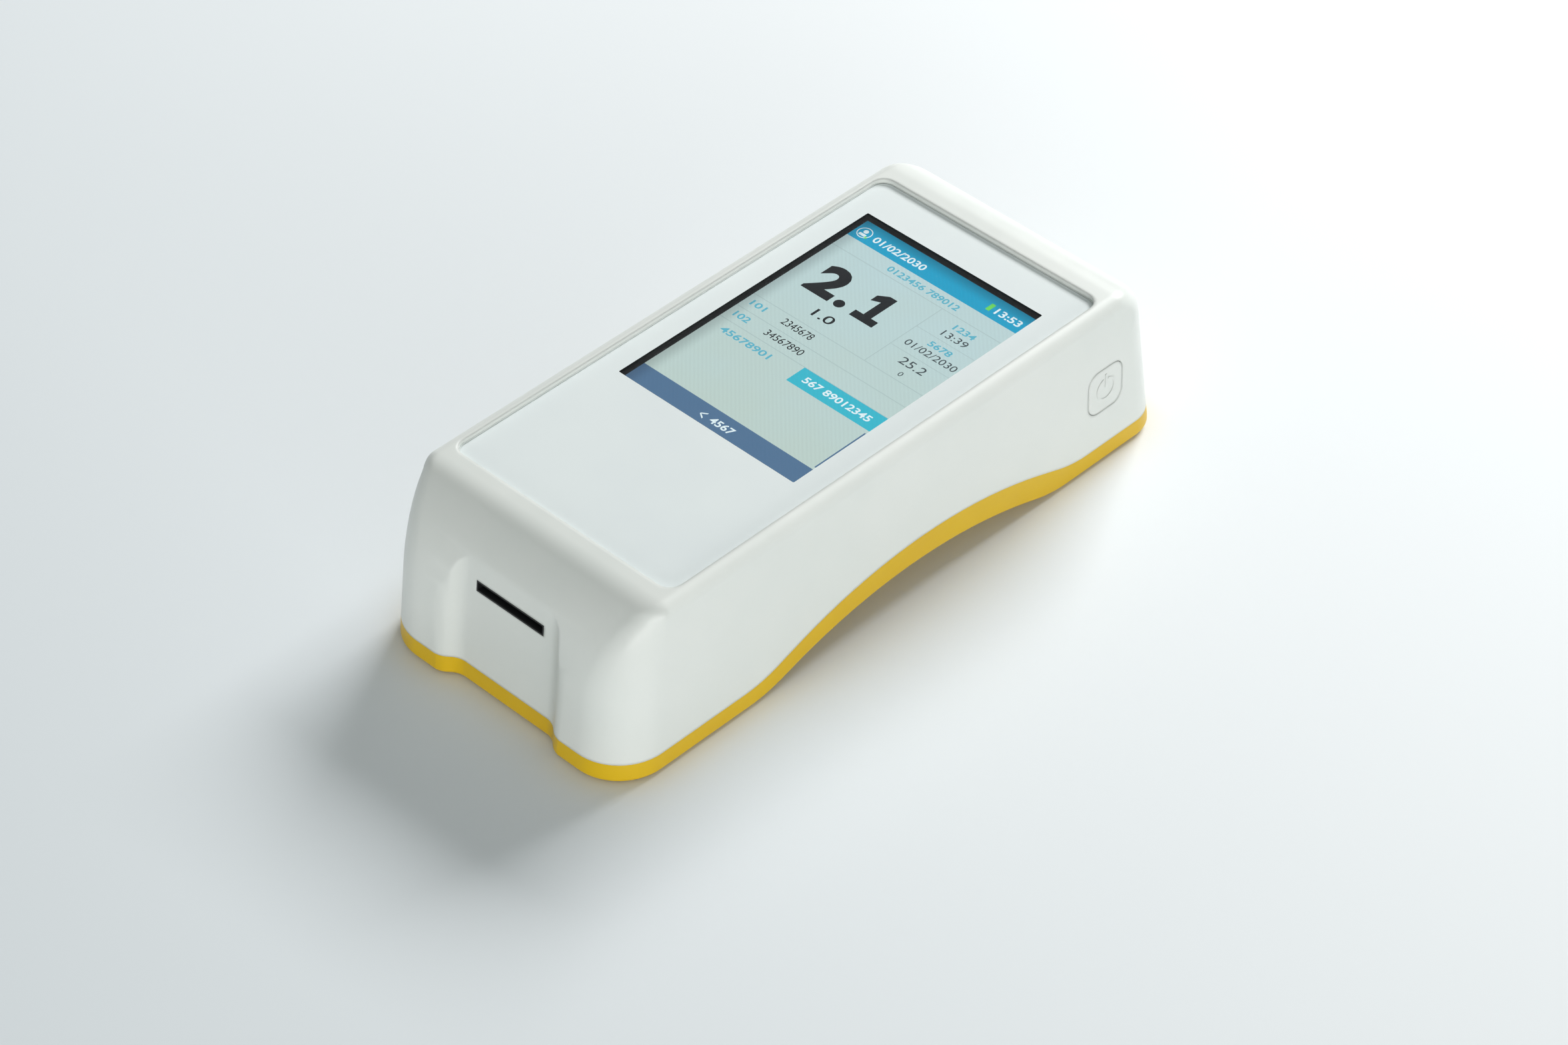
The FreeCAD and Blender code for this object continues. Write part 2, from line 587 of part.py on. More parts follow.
upper_block = cut("upper_block", outside, below_split)
upper_shell = cut("upper_shell", upper_block, inside)
lens_pocket = plate(
    "lens_pocket", ("0 - LensHalf - LensGap", "LensHalf + LensGap"),
    ("LensStart - LensGap", "LensEnd + LensGap"),
    ("LedgeTop", "BodyHeight + Beyond"), "LensCorner + LensGap")
opening_x = ("0 - OpeningHalf", "OpeningHalf")
opening_y = ("OpeningFront", "OpeningRear")
screen_opening = box("screen_opening", opening_x, opening_y, ("LedgeBottom - 5", "LedgeTop + 1"))
slot_half = "(SlotWidth / 2 + LipWall + LipGap)"
slot = box("slot", ("0 - " + slot_half, slot_half), ("0 - BodyLength", "Beyond - HalfLength"),
           ("SlotBottom - LipWall - LipGap", "SlotTop + LipWall + LipGap"))


def button_prism(name, grow, corner, x):
    """The button's rounded square, grown all round, between two places across the body."""
    half_y = "(ButtonWidth / 2 + %s)" % grow
    half_z = "(ButtonHeight / 2 + %s)" % grow
    outline = rectangle("ButtonY - " + half_y, "ButtonY + " + half_y,
                        "ButtonLevel - " + half_z, "ButtonLevel + " + half_z)
    return slab(name, "YZ_Plane", outline, x[0], x[1], [(corner, along("x"))])


button_hole = button_prism("button_hole", "ButtonGap", "ButtonCorner + ButtonGap",
                           ("HalfWidth - 12", "HalfWidth + 10"))
jack_half = "(JackWidth / 2 + JackGap)"
jack_mouth = slab(
    "jack_mouth", "XZ_Plane",
    rectangle("0 - " + jack_half, jack_half, "BoardTop - JackGap + JackSeat", "BoardTop + JackHeight + JackGap"),
    "0 - HalfLength - 10", "0 - HalfLength + 14", [("JackCorner", along("y"))])
case_bosses = at_case_screws(
    lambda n, x, y: common("case_boss" + n, boss_room,
                           rod("boss_rod" + n, "CaseBoss", "BossJoint", "LedgeBottom + 1", x, y)))
case_pilots = at_case_screws(
    lambda n, x, y: rod("case_pilot" + n, "CaseScrewRadius + ScrewGap",
                        "BossJoint - 1", "CaseScrewReach + 1", x, y))
bracket_bosses = at_bracket_screws(
    lambda n, x, y: rod("bracket_boss" + n, "BracketBoss", "BracketTop", "LedgeBottom + 0.5", x, y))
bracket_pilots = at_bracket_screws(
    lambda n, x, y: rod("bracket_pilot" + n, "BracketScrewRadius + ScrewGap",
                        "BracketTop - 1", "LedgeTop - 0.6", x, y))
upper_full = fuse("upper_full", upper_shell, *case_bosses, *bracket_bosses)
upper_housing = cut("upper_housing", upper_full, lens_pocket, screen_opening, slot, button_hole,
                    jack_mouth, *case_pilots, *bracket_pilots)


# Lower housing: the arched base, its standoffs, battery cradle and screw posts

lower_band = common("lower_band", outside, below_split)
lower_arch = cut("lower_arch", lower_band, under_arch)
doc.recompute()


def bottom_edges(shape):
    """Edges where the outer wall meets the underside."""
    found = []
    for number, edge in enumerate(shape.Edges, 1):
        middle = edge.valueAt((edge.FirstParameter + edge.LastParameter) / 2)
        near = [face for face in shape.Faces
                if face.distToShape(Part.Vertex(middle))[0] < 0.01]
        downward = steep = 0
        for face in near:
            u, v = face.Surface.parameter(middle)
            normal = face.normalAt(u, v)
            downward += normal.z < -0.9
            steep += abs(normal.z) < 0.2
        if downward == 1 and steep == 1:
            found.append(number)
    return found


lower_round = doc.addObject("Part::Fillet", "lower_round")
lower_round.Base = lower_arch
lower_round.Edges = [(number, value("BottomRound"), value("BottomRound"))
                     for number in bottom_edges(lower_arch.Shape)]
doc.recompute()
lower_hollow = cut("lower_hollow", inside, inner_floor)
lower_tray = cut("lower_tray", lower_round, lower_hollow)


def at_board_screws(make):
    made = []
    for side in ("0 - BoardScrewX", "BoardScrewX"):
        for row in ("0 - BoardScrewFront", "BoardScrewRear"):
            made.append(make("_%d" % len(made), side, row))
    return made


# Every post and rib starts below the floor and keeps only what lies above the arch, so each
# one meets the curved floor at its own height.
standoffs = at_board_screws(
    lambda n, x, y: rod("standoff" + n, "StandoffRadius", "FootGap", "BoardBottom", x, y))
cradle_x = ("0 - BatteryWidth / 2 - RibThickness - SeatGap", "BatteryWidth / 2 + RibThickness + SeatGap")
cradle_y = ("BatteryFront - RibThickness - SeatGap", "BatteryRear + RibThickness + SeatGap")
cradle_block = box("cradle_block", cradle_x, cradle_y, ("FootGap", "BatteryLevel + RibHeight"))
cradle_seat = box("cradle_seat", ("0 - BatteryWidth / 2 - SeatGap", "BatteryWidth / 2 + SeatGap"),
                  ("BatteryFront - SeatGap", "BatteryRear + SeatGap"), ("BatteryLevel", "BatteryTop + 5"))
cradle_well = box("cradle_well",
                  ("0 - BatteryWidth / 2 + RibThickness", "BatteryWidth / 2 - RibThickness"),
                  ("BatteryFront + RibThickness", "BatteryRear - RibThickness"),
                  ("0 - Beyond / 4", "BatteryLevel + 1"))
lead_gate = box("lead_gate", ("0 - LeadPitch / 2 - 1.5", "LeadPitch / 2 + 1.5"),
                ("BatteryFront - 5", "BatteryFront + 1"), ("BatteryLevel + 0.5", "BatteryTop + 5"))
cradle = cut("cradle", cradle_block, cradle_seat, cradle_well, lead_gate)
case_posts = at_case_screws(
    lambda n, x, y: rod("case_post" + n, "PadRadius + 1", "FootGap", "BossJoint - SeatGap", x, y))
posts_above = cut("posts_above", fuse("posts", cradle, *standoffs, *case_posts), under_arch)
lower_full = fuse("lower_full", lower_tray, posts_above)
pad_seats = at_case_screws(
    lambda n, x, y: rod("pad_seat" + n, "PadRadius + ScrewGap", "0 - Beyond / 4", "PadThickness", x, y))
head_seats = at_case_screws(
    lambda n, x, y: rod("head_seat" + n, "HeadRadius + ScrewGap", "0", "HeadSeat", x, y))
shank_holes = at_case_screws(
    lambda n, x, y: rod("shank_hole" + n, "CaseScrewRadius + ScrewGap", "0", "BossJoint + 5", x, y))
board_pilots = at_board_screws(
    lambda n, x, y: rod("board_pilot" + n, "BoardScrewRadius + ScrewGap",
                        "BoardBottom - 7", "BoardTop + 1", x, y))
lower_housing = cut("lower_housing", lower_full, *pad_seats, *head_seats, *shank_holes, *board_pilots)


# Lens stack

lens_x = ("0 - LensHalf", "LensHalf")
lens_y = ("LensStart", "LensEnd")
cover_lens = plate("cover_lens", lens_x, lens_y, ("PrintTop", "LensTop"), "LensCorner")
print_sheet = plate("print_sheet", lens_x, lens_y, ("GlueTop", "PrintTop"), "LensCorner")
window = box("window", ("0 - WindowHalf", "WindowHalf"), ("WindowStart", "WindowEnd"),
             ("GlueTop - 1", "PrintTop + 1"))
lens_print = cut("lens_print", print_sheet, window)
glue_sheet = plate("glue_sheet", lens_x, lens_y, ("LedgeTop", "GlueTop"), "LensCorner")
glue_window = box("glue_window", opening_x, opening_y, ("LedgeTop - 1", "GlueTop + 1"))
lens_adhesive = cut("lens_adhesive", glue_sheet, glue_window)
touch_film = box("touch_film", ("0 - TouchHalf", "TouchHalf"),
                 ("WindowStart - TouchMargin", "WindowEnd + TouchMargin"),
                 ("GlueTop - TouchThickness", "GlueTop"))


# Screen, bracket and ribbon

panel_x = ("0 - PanelHalf", "PanelHalf")
lcd_panel = box("lcd_panel", panel_x, ("PanelFront", "PanelRear"), ("BacklightTop", "PanelTop"))
lcd_backlight = box("lcd_backlight", panel_x, ("BacklightFront", "PanelRear"), ("BracketTop", "BacklightTop"))
bracket_plate = plate("bracket_plate", ("0 - BracketHalf", "BracketHalf"),
                      ("BracketFront", "BracketRear"), ("BracketBottom", "BracketTop"), "BracketCorner")
bracket_window = box("bracket_window", ("FrameWidth - PanelHalf", "PanelHalf - FrameWidth"),
                     ("PanelFront + FrameEnd", "PanelRear - FrameEnd"),
                     ("BracketBottom - 1", "BracketTop + 1"))
bracket_holes = at_bracket_screws(
    lambda n, x, y: rod("bracket_hole" + n, "BracketScrewRadius + ScrewGap",
                        "BracketBottom - 1", "BracketTop + 1", x, y))
flex_pass = box("flex_pass", ("0 - FlexWidth / 2 - 1", "FlexWidth / 2 + 1"),
                ("BracketFront - 1", "BacklightFront + 0.5"), ("BracketBottom - 1", "BracketTop + 1"))
display_bracket = cut("display_bracket", bracket_plate, bracket_window, flex_pass, *bracket_holes)


def screw(name, radius, head, height, seat, tip, x, y, up):
    """A screw on a vertical axis: its head lies outside the seat, its shank runs to the tip."""
    if up:
        cap_span = ("%s - (%s)" % (seat, height), seat)
        shank_span = ("%s - 0.1" % seat, tip)
    else:
        cap_span = (seat, "%s + (%s)" % (seat, height))
        shank_span = (tip, "%s + 0.1" % seat)
    return fuse(name, rod(name + "_head", head, cap_span[0], cap_span[1], x, y),
                rod(name + "_shank", radius, shank_span[0], shank_span[1], x, y))


bracket_screws = group("bracket_screws", *at_bracket_screws(
    lambda n, x, y: screw("bracket_screw" + n, "BracketScrewRadius", "BracketScrewRadius + 0.8", "0.9",
                          "BracketBottom", "LedgeTop - 1", x, y, True)))

# The ribbon leaves the backlight's front end, drops behind the bracket and enters its socket.
ribbon_out = "BacklightFront - FlexBend - FlexRun"
ribbon_z = "BracketTop + FlexLevel"
socket_mid = "BoardTop + SocketHeight / 2"


def at_bend(place):
    """A test for the ribbon's edges across the body at one place along it."""
    return lambda e: along("x")(e) and abs(e.CenterOfMass.y - value(place)) < 0.01


display_flex = slab("display_flex", "YZ_Plane", [
    ("BacklightFront", ribbon_z), ("BacklightFront", ribbon_z + " + FlexThickness"),
    (ribbon_out + " - FlexThickness", ribbon_z + " + FlexThickness"),
    (ribbon_out + " - FlexThickness", socket_mid),
    ("BacklightFront + 0.1", socket_mid), ("BacklightFront + 0.1", socket_mid + " + FlexThickness"),
    (ribbon_out, socket_mid + " + FlexThickness"), (ribbon_out, ribbon_z),
], "0 - FlexWidth / 2", "FlexWidth / 2", [
    ("FlexBend + FlexThickness", at_bend(ribbon_out + " - FlexThickness")),
    ("FlexBend", at_bend(ribbon_out)),
])
display_connector = box("display_connector", ("0 - FlexWidth / 2 - 1", "FlexWidth / 2 + 1"),
                        ("BacklightFront + 0.1", "BacklightFront + 0.1 + SocketLength"),
                        ("BoardTop", "BoardTop + SocketHeight"))


# Main board and what is soldered to it

edge, front, rear = "BoardEdge", "0 - BoardFront", "BoardRear"
board_outline = [
    ("0 - " + edge, front), (edge, front), (edge, rear + " - NotchLength"),
    (edge + " - NotchWidth", rear + " - NotchLength"), (edge + " - NotchWidth", rear),
    ("0 - %s + NotchWidth" % edge, rear), ("0 - %s + NotchWidth" % edge, rear + " - NotchLength"),
    ("0 - " + edge, rear + " - NotchLength"),
]
board_plate = slab("board_plate", "XY_Plane", board_outline, "BoardBottom", "BoardTop")
board_holes = at_board_screws(
    lambda n, x, y: rod("board_hole" + n, "BoardScrewRadius + ScrewGap",
                        "BoardBottom - 1", "BoardTop + 1", x, y))


def at_guide_screws(make):
    made = []
    for side in ("0 - GuideScrewX", "GuideScrewX"):
        for row in ("GuideScrewShift - HeaterCentre - GuideScrewPitch / 2",
                    "GuideScrewShift - HeaterCentre + GuideScrewPitch / 2"):
            made.append(make("_%d" % len(made), side, row))
    return made


guide_holes = at_guide_screws(
    lambda n, x, y: rod("guide_hole" + n, "GuideScrewRadius + ScrewGap",
                        "BoardBottom - 1", "BoardTop + 6", x, y))
main_board = cut("main_board", board_plate, *board_holes, *guide_holes)
board_screws = group("board_screws", *at_board_screws(
    lambda n, x, y: screw("board_screw" + n, "BoardScrewRadius", "BoardScrewRadius + 0.9", "1.2",
                          "BoardTop", "BoardBottom - 5", x, y, False)))
chip_span = ("0 - ChipSide / 2", "ChipSide / 2")
processor = plate("processor", chip_span, chip_span, ("BoardTop", "BoardTop + ChipHeight"), "ChipCorner")
wireless_module = plate("wireless_module", ("RadioX", "RadioX + RadioWidth"), ("RadioY", "RadioY + RadioLength"),
                        ("BoardTop", "BoardTop + RadioHeight"), "RadioCorner")
buzzer_can = rod("buzzer_can", "BuzzerRadius", "BoardTop", "BoardTop + BuzzerHeight", "0 - BuzzerX", "BuzzerY")
buzzer_port = rod("buzzer_port", "BuzzerPort", "BoardTop + BuzzerHeight - 1", "BoardTop + BuzzerHeight + 1",
                  "0 - BuzzerX", "BuzzerY")
buzzer = cut("buzzer", buzzer_can, buzzer_port)

jack_x = ("0 - JackWidth / 2", "JackWidth / 2")
jack_outer = slab("jack_outer", "XZ_Plane", rectangle(jack_x[0], jack_x[1], "BoardTop", "BoardTop + JackHeight"),
                  "0 - JackRear", "0 - JackRear + JackLength", [("JackCorner", along("y"))])
jack_inner = slab(
    "jack_inner", "XZ_Plane",
    rectangle("0 - JackWidth / 2 + JackWall", "JackWidth / 2 - JackWall", "BoardTop + JackWall",
              "BoardTop + JackHeight - JackWall"),
    "0 - JackRear - 1", "0 - JackRear + JackLength - 1", [("JackCorner - JackWall", along("y"))])
jack_tongue = box("jack_tongue", ("0 - TongueHalf", "TongueHalf"), ("JackRear - JackLength + 0.5", "JackRear - 0.6"),
                  ("BoardTop + (JackHeight - TongueThickness) / 2", "BoardTop + (JackHeight + TongueThickness) / 2"))
usb_socket = fuse("usb_socket", cut("jack_shell", jack_outer, jack_inner), jack_tongue)


# Power button, its switch and the switch's plunger

cap_block = button_prism("cap_block", "0", "ButtonCorner", ("ButtonFace - ButtonDepth", "HalfWidth + 5"))
cap = common("cap", cap_block, skin)
flange_block = button_prism("flange_block", "FlangeReach", "ButtonCorner + FlangeReach",
                            ("FlangeOuter - FlangeThickness", "HalfWidth + 5"))
flange = common("flange", flange_block, flange_room)
stem = rod("stem", "StemRadius", "PlungerTip + TouchGap", "FlangeOuter", y="ButtonY", z="ButtonLevel", axis="x")


def power_sign():
    """A raised ring with a gap at the top and a short bar through the gap."""
    reach, line = value("SignRadius"), value("SignLine")
    deep, far = value("ButtonFace - 0.6"), value("ButtonFace + SignRelief")
    middle = vec("0", "ButtonY", "ButtonLevel") + FreeCAD.Vector(deep, 0, 0)
    across = FreeCAD.Vector(1, 0, 0)
    ring = Part.makeCylinder(reach, far - deep, middle, across)
    ring = ring.cut(Part.makeCylinder(reach - line, far - deep, middle, across))
    gap = Part.makeBox(far - deep, 3 * line, 2 * reach, middle - FreeCAD.Vector(0, 1.5 * line, 0))
    bar = Part.makeBox(far - deep, line, reach + line, middle - FreeCAD.Vector(0, line / 2, -line))
    shape = ring.cut(gap).fuse(bar)
    tilt = FreeCAD.Rotation(FreeCAD.Vector(0, 1, 0), -value("SideDraft"))
    shape.Placement = FreeCAD.Placement(FreeCAD.Vector(), tilt, vec("ButtonFace", "ButtonY", "ButtonLevel"))
    return shape


power_button = fuse("power_button", cap, flange, stem, shaped("power_sign", power_sign()))
switch_y = ("ButtonY - SwitchWidth / 2", "ButtonY + SwitchWidth / 2")
switch_block = box("switch_block", ("SwitchFace - SwitchDepth", "SwitchFace"), switch_y,
                   ("BoardTop", "BoardTop + SwitchHeight"))
plunger_hole = rod("plunger_hole", "PlungerRadius + PlungerGap", "PlungerEnd", "SwitchFace + 1",
                   y="ButtonY", z="SwitchLevel", axis="x")
tact_switch = cut("tact_switch", switch_block, plunger_hole)
switch_plunger = rod("switch_plunger", "PlungerRadius", "PlungerEnd + ButtonTravel + 0.2", "PlungerTip",
                     y="ButtonY", z="SwitchLevel", axis="x")


# Measuring station: guide, heater, optics

guide_x = ("0 - GuideWidth / 2", "GuideWidth / 2")
guide_y = ("0 - BodyLength", "0 - GuideRear")
guide_block = box("guide_block", guide_x, guide_y, ("GuideBottom", "GuideTop"))
guide_trim = common("guide_trim", guide_block, cut("guide_space", guide_room, room_wall))
lip_block = box("lip_block", ("0 - SlotWidth / 2 - LipWall", "SlotWidth / 2 + LipWall"),
                ("0 - BodyLength", "Beyond - HalfLength"), ("SlotBottom - LipWall", "SlotTop + LipWall"))
guide_full = fuse("guide_full", guide_trim, common("lip", lip_block, outside))
skirt_room = box("skirt_room", ("0 - GuideWidth / 2 + GuideSkirt", "GuideWidth / 2 - GuideSkirt"),
                 ("0 - BodyLength", "0 - GuideRear + 5"), ("GuideBottom - 1", "GuideFloor"))
channel = box("channel", ("0 - SlotWidth / 2", "SlotWidth / 2"), ("0 - BodyLength", "0 - ChannelEnd"),
              ("SlotBottom", "SlotTop"))
boss_relief = [rod("boss_relief_%d" % i, "CaseBoss + HousingGap", "GuideBottom - 1", "GuideTop + 1", x,
                   "0 - CaseScrewY") for i, x in enumerate(("0 - CaseScrewX", "CaseScrewX"))]
heater_x = ("0 - HeaterWidth / 2", "HeaterWidth / 2")
heater_y = ("0 - HeaterCentre - HeaterLength / 2", "0 - HeaterCentre + HeaterLength / 2")
heater_seat = box("heater_seat", ("%s - SeatGap" % heater_x[0], "%s + SeatGap" % heater_x[1]),
                  ("%s - SeatGap" % heater_y[0], "%s + SeatGap" % heater_y[1]),
                  ("SlotBottom - HeaterThickness - FilmThickness", "SlotBottom + 0.1"))
optics_bore = rod("optics_bore", "BarrelRadius + SeatGap", "SlotTop - 0.1", "OpticsTop + 1",
                  "0", "0 - OpticsCentre")
lamp_y = "0 - OpticsCentre - LampOffset"
lamp_window = box("lamp_window", ("0 - LampWidth / 2 + 1", "LampWidth / 2 - 1"),
                  ("%s - LampLength / 2 + 0.6" % lamp_y, "%s + LampLength / 2 - 0.6" % lamp_y),
                  ("SlotTop - 0.1", "GuideTop + 1"))
lever_x = ("LeverX - LeverWidth / 2", "LeverX + LeverWidth / 2")
lever_bay = box("lever_bay", ("%s - LeverSideGap" % lever_x[0], "%s + LeverSideGap" % lever_x[1]),
                ("0 - LeverPivotY - LeverHub - LeverEndGap", "0 - LeverPivotY + LeverReach + LeverEndGap"),
                ("GuideBottom - 1", "SlotBottom + 0.1"))
pin_hole = rod("pin_hole", "PinRadius + PinGap", "LeverX - PinHalf - 0.5", "LeverX + PinHalf + 0.5", y="0 - LeverPivotY",
               z="LeverPivotLevel", axis="x")
chip_guide = cut("chip_guide", guide_full, skirt_room, channel, *boss_relief, heater_seat, optics_bore,
                 lamp_window, lever_bay, pin_hole, *guide_holes)
heater_film = box("heater_film", heater_x, heater_y,
                  ("SlotBottom - HeaterThickness - FilmThickness", "SlotBottom - HeaterThickness"))
heater_plate = box("heater_plate", heater_x, heater_y, ("SlotBottom - HeaterThickness", "SlotBottom"))
guide_screws = group("guide_screws", *at_guide_screws(
    lambda n, x, y: screw("guide_screw" + n, "GuideScrewRadius", "GuideScrewRadius + 0.8", "1.1",
                          "BoardBottom", "BoardTop + 5", x, y, True)))

optics_y = ("0 - OpticsCentre - OpticsLength / 2", "0 - OpticsCentre + OpticsLength / 2")
optics_block = plate("optics_block", ("0 - OpticsWidth / 2", "OpticsWidth / 2"), optics_y,
                     ("GuideTop", "OpticsTop"), "OpticsCorner")
lamp_x = ("0 - LampWidth / 2", "LampWidth / 2")
lamp_span = ("%s - LampLength / 2" % lamp_y, "%s + LampLength / 2" % lamp_y)
lamp_seat = box("lamp_seat", ("%s - SeatGap" % lamp_x[0], "%s + SeatGap" % lamp_x[1]),
                ("%s - SeatGap" % lamp_span[0], "%s + SeatGap" % lamp_span[1]), ("GuideTop - 1", "GuideTop + LampSeat"))
optics_housing = cut("optics_housing", optics_block, optics_bore, lamp_seat)
lamp_plate = box("lamp_plate", lamp_x, lamp_span,
                 ("GuideTop + LampSeat - LampThickness", "GuideTop + LampSeat"))
lamps = [box("lamp_%d" % i, ("%s - 0.8" % x, "%s + 0.8" % x), ("%s - 0.7" % lamp_y, "%s + 0.7" % lamp_y),
             ("GuideTop + LampSeat - 2 * LampThickness", "GuideTop + LampSeat - LampThickness + 0.05"))
         for i, x in enumerate(("0 - LampPitch / 2", "LampPitch / 2"))]
led_board = fuse("led_board", lamp_plate, *lamps)
barrel_z = ("GuideTop - BarrelBelow", "OpticsTop")
barrel = rod("barrel", "BarrelRadius", barrel_z[0], barrel_z[1], "0", "0 - OpticsCentre")
barrel_bore = rod("barrel_bore", "BarrelRadius - BarrelWall", "GuideTop - BarrelBelow - 1",
                  "GuideTop - BarrelBelow + BarrelWall", "0", "0 - OpticsCentre")
camera_lens = cut("camera_lens", barrel, barrel_bore)
camera_board = box("camera_board", ("0 - SensorSide / 2", "SensorSide / 2"),
                   ("0 - OpticsCentre - SensorSide / 2", "0 - OpticsCentre + SensorSide / 2"),
                   ("OpticsTop", "OpticsTop + SensorThickness"))


# Chip-detect lever: its nose stands in the channel and its foot presses the detect switch

def lever_shape():
    """A hub on the pin, an arm towards the back and a rounded nose up into the channel."""
    x0, width = value(lever_x[0]), value("LeverWidth")
    y, z = value("0 - LeverPivotY"), value("LeverPivotLevel")
    across = FreeCAD.Vector(1, 0, 0)
    hub = Part.makeCylinder(value("LeverHub"), width, FreeCAD.Vector(x0, y, z), across)
    reach, nose = value("LeverReach"), value("LeverNose")
    top = value("SlotBottom") + nose
    arm = Part.makeBox(width, reach, value("LeverArm"), FreeCAD.Vector(x0, y, z - value("LeverArm / 2")))
    tip = Part.makeCylinder(nose, width, FreeCAD.Vector(x0, y + reach - nose, top - nose), across)
    neck = Part.makeBox(width, 2 * nose, top - nose - z, FreeCAD.Vector(x0, y + reach - 2 * nose, z))
    bore = Part.makeCylinder(value("PinRadius + PinGap"), width + 2, FreeCAD.Vector(x0 - 1, y, z), across)
    return hub.fuse([arm, tip, neck]).cut(bore)


detect_lever = shaped("detect_lever", lever_shape())
lever_pin = rod("lever_pin", "PinRadius", "LeverX - PinHalf", "LeverX + PinHalf", y="0 - LeverPivotY",
                z="LeverPivotLevel", axis="x")
detect_switch = box("detect_switch", ("LeverX - DetectWidth / 2", "LeverX + DetectWidth / 2"),
                    ("0 - LeverPivotY + LeverReach - DetectLength / 2",
                     "0 - LeverPivotY + LeverReach + DetectLength / 2"),
                    ("BoardTop", "LeverPivotLevel - LeverArm / 2 - DetectGap"))


# Battery

battery_pack = slab("battery_pack", "XZ_Plane",
                    rectangle("0 - BatteryWidth / 2", "BatteryWidth / 2", "BatteryLevel", "BatteryTop"),
                    "0 - BatteryRear", "0 - BatteryFront", [("BatteryRound", along("y"))])
battery_pad = box("battery_pad", ("PadInset - BatteryWidth / 2", "BatteryWidth / 2 - PadInset"),
                  ("BatteryFront + PadInset + 1", "BatteryRear - PadInset - 1"), ("BatteryTop", "BoardBottom"))
plug_z = ("BoardBottom - PlugHeight", "BoardBottom")
battery_connector = box("battery_connector", ("0 - PlugWidth / 2", "PlugWidth / 2"),
                        ("PlugFront", "PlugFront + PlugLength"), plug_z)
lead_z = "BoardBottom - PlugHeight + LeadRadius + LeadLevel"
battery_leads = group("battery_leads", *[
    rod("battery_lead_%d" % i, "LeadRadius", "PlugFront + PlugLength", "BatteryFront", x=x, z=lead_z, axis="y")
    for i, x in enumerate(("0 - LeadPitch / 2", "LeadPitch / 2"))])


# Shell screws and foot pads

housing_screws = group("housing_screws", *at_case_screws(
    lambda n, x, y: screw("housing_screw" + n, "CaseScrewRadius", "HeadRadius", "HeadHeight",
                          "HeadSeat", "CaseScrewReach", x, y, True)))
foot_pads = group("foot_pads", *at_case_screws(
    lambda n, x, y: rod("foot_pad" + n, "PadRadius", "0", "PadThickness", x, y)))


# Every sub-part, checked and written

SUBPARTS = [
    upper_housing, lower_housing, cover_lens, lens_print, lens_adhesive, touch_film, lcd_panel,
    lcd_backlight, display_bracket, bracket_screws, display_flex, display_connector, main_board,
    board_screws, processor, wireless_module, buzzer, usb_socket, power_button, tact_switch,
    switch_plunger, chip_guide, heater_plate, heater_film, guide_screws, optics_housing, led_board,
    camera_lens, camera_board, detect_lever, lever_pin, detect_switch, battery_pack, battery_pad,
    battery_connector, battery_leads, housing_screws, foot_pads,
]

doc.recompute()
for item in doc.Objects:
    if "Invalid" in item.State or "Error" in item.State:
        raise RuntimeError("%s failed to build: %s" % (item.Label, item.State))
os.makedirs("parts", exist_ok=True)
for item in SUBPARTS:
    shape = item.Shape
    if shape.isNull() or not shape.isValid() or not shape.Solids:
        raise RuntimeError("%s has no valid solid" % item.Label)
    print("%-20s %d solid(s) %12.3f mm3" % (item.Label, len(shape.Solids), shape.Volume))
    shape.exportStep("parts/%s.step" % item.Label)
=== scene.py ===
# %% [markdown]
# # A hand-held meter that reads a blood test chip
#
# The solids come from the fixed frame: two moulded shells, a lens over a colour screen, a
# button in the right side and everything inside. This script dresses them. It gives every
# solid a finish, rounds the shading of the shells, builds the lens, the screen and its
# picture as new surfaces, and sets the table, the lamps and the camera. Lengths are metres.

import math

import bmesh
import bpy
import numpy as np
from mathutils import Matrix, Vector


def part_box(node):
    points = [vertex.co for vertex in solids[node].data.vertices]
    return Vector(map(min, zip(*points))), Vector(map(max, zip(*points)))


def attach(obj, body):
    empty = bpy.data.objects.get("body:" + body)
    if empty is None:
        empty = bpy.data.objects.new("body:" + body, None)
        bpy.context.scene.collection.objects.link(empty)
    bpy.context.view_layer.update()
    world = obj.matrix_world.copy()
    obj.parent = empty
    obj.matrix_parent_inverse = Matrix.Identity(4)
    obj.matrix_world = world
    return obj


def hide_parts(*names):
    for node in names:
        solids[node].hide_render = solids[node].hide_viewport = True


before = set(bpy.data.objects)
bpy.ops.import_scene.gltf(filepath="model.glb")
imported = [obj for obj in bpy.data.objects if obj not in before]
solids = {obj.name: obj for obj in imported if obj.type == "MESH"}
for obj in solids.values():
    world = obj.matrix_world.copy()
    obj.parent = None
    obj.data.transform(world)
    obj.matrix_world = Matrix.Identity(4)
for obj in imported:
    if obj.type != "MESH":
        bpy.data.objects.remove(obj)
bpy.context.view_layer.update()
MM = 0.001

# %% [markdown]
# ## Small tools
#
# Every new surface ends as a list of points and a list of faces, so one helper turns these
# into an object that sits at the origin and rides on a body of the frame. Another adds a
# node to a material and fills in its sockets, and short ones on top of it do sums, spread a
# value over a range and blend two shaders, which keeps each recipe on few lines.

# %% Mesh and node helpers
def piece(name, points, faces, paint, body="case", smooth=True, stands_for=()):
    """An object from points in metres and faces as index lists, riding on a body."""
    mesh = bpy.data.meshes.new(name)
    mesh.from_pydata(np.asarray(points, float).tolist(), [], [list(map(int, f)) for f in faces])
    mesh.polygons.foreach_set("use_smooth", np.full(len(mesh.polygons), smooth))
    mesh.update()
    thing = bpy.data.objects.new(name, mesh)
    bpy.context.scene.collection.objects.link(thing)
    mesh.materials.append(paint)
    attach(thing, body)
    if stands_for:
        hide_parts(*stands_for)


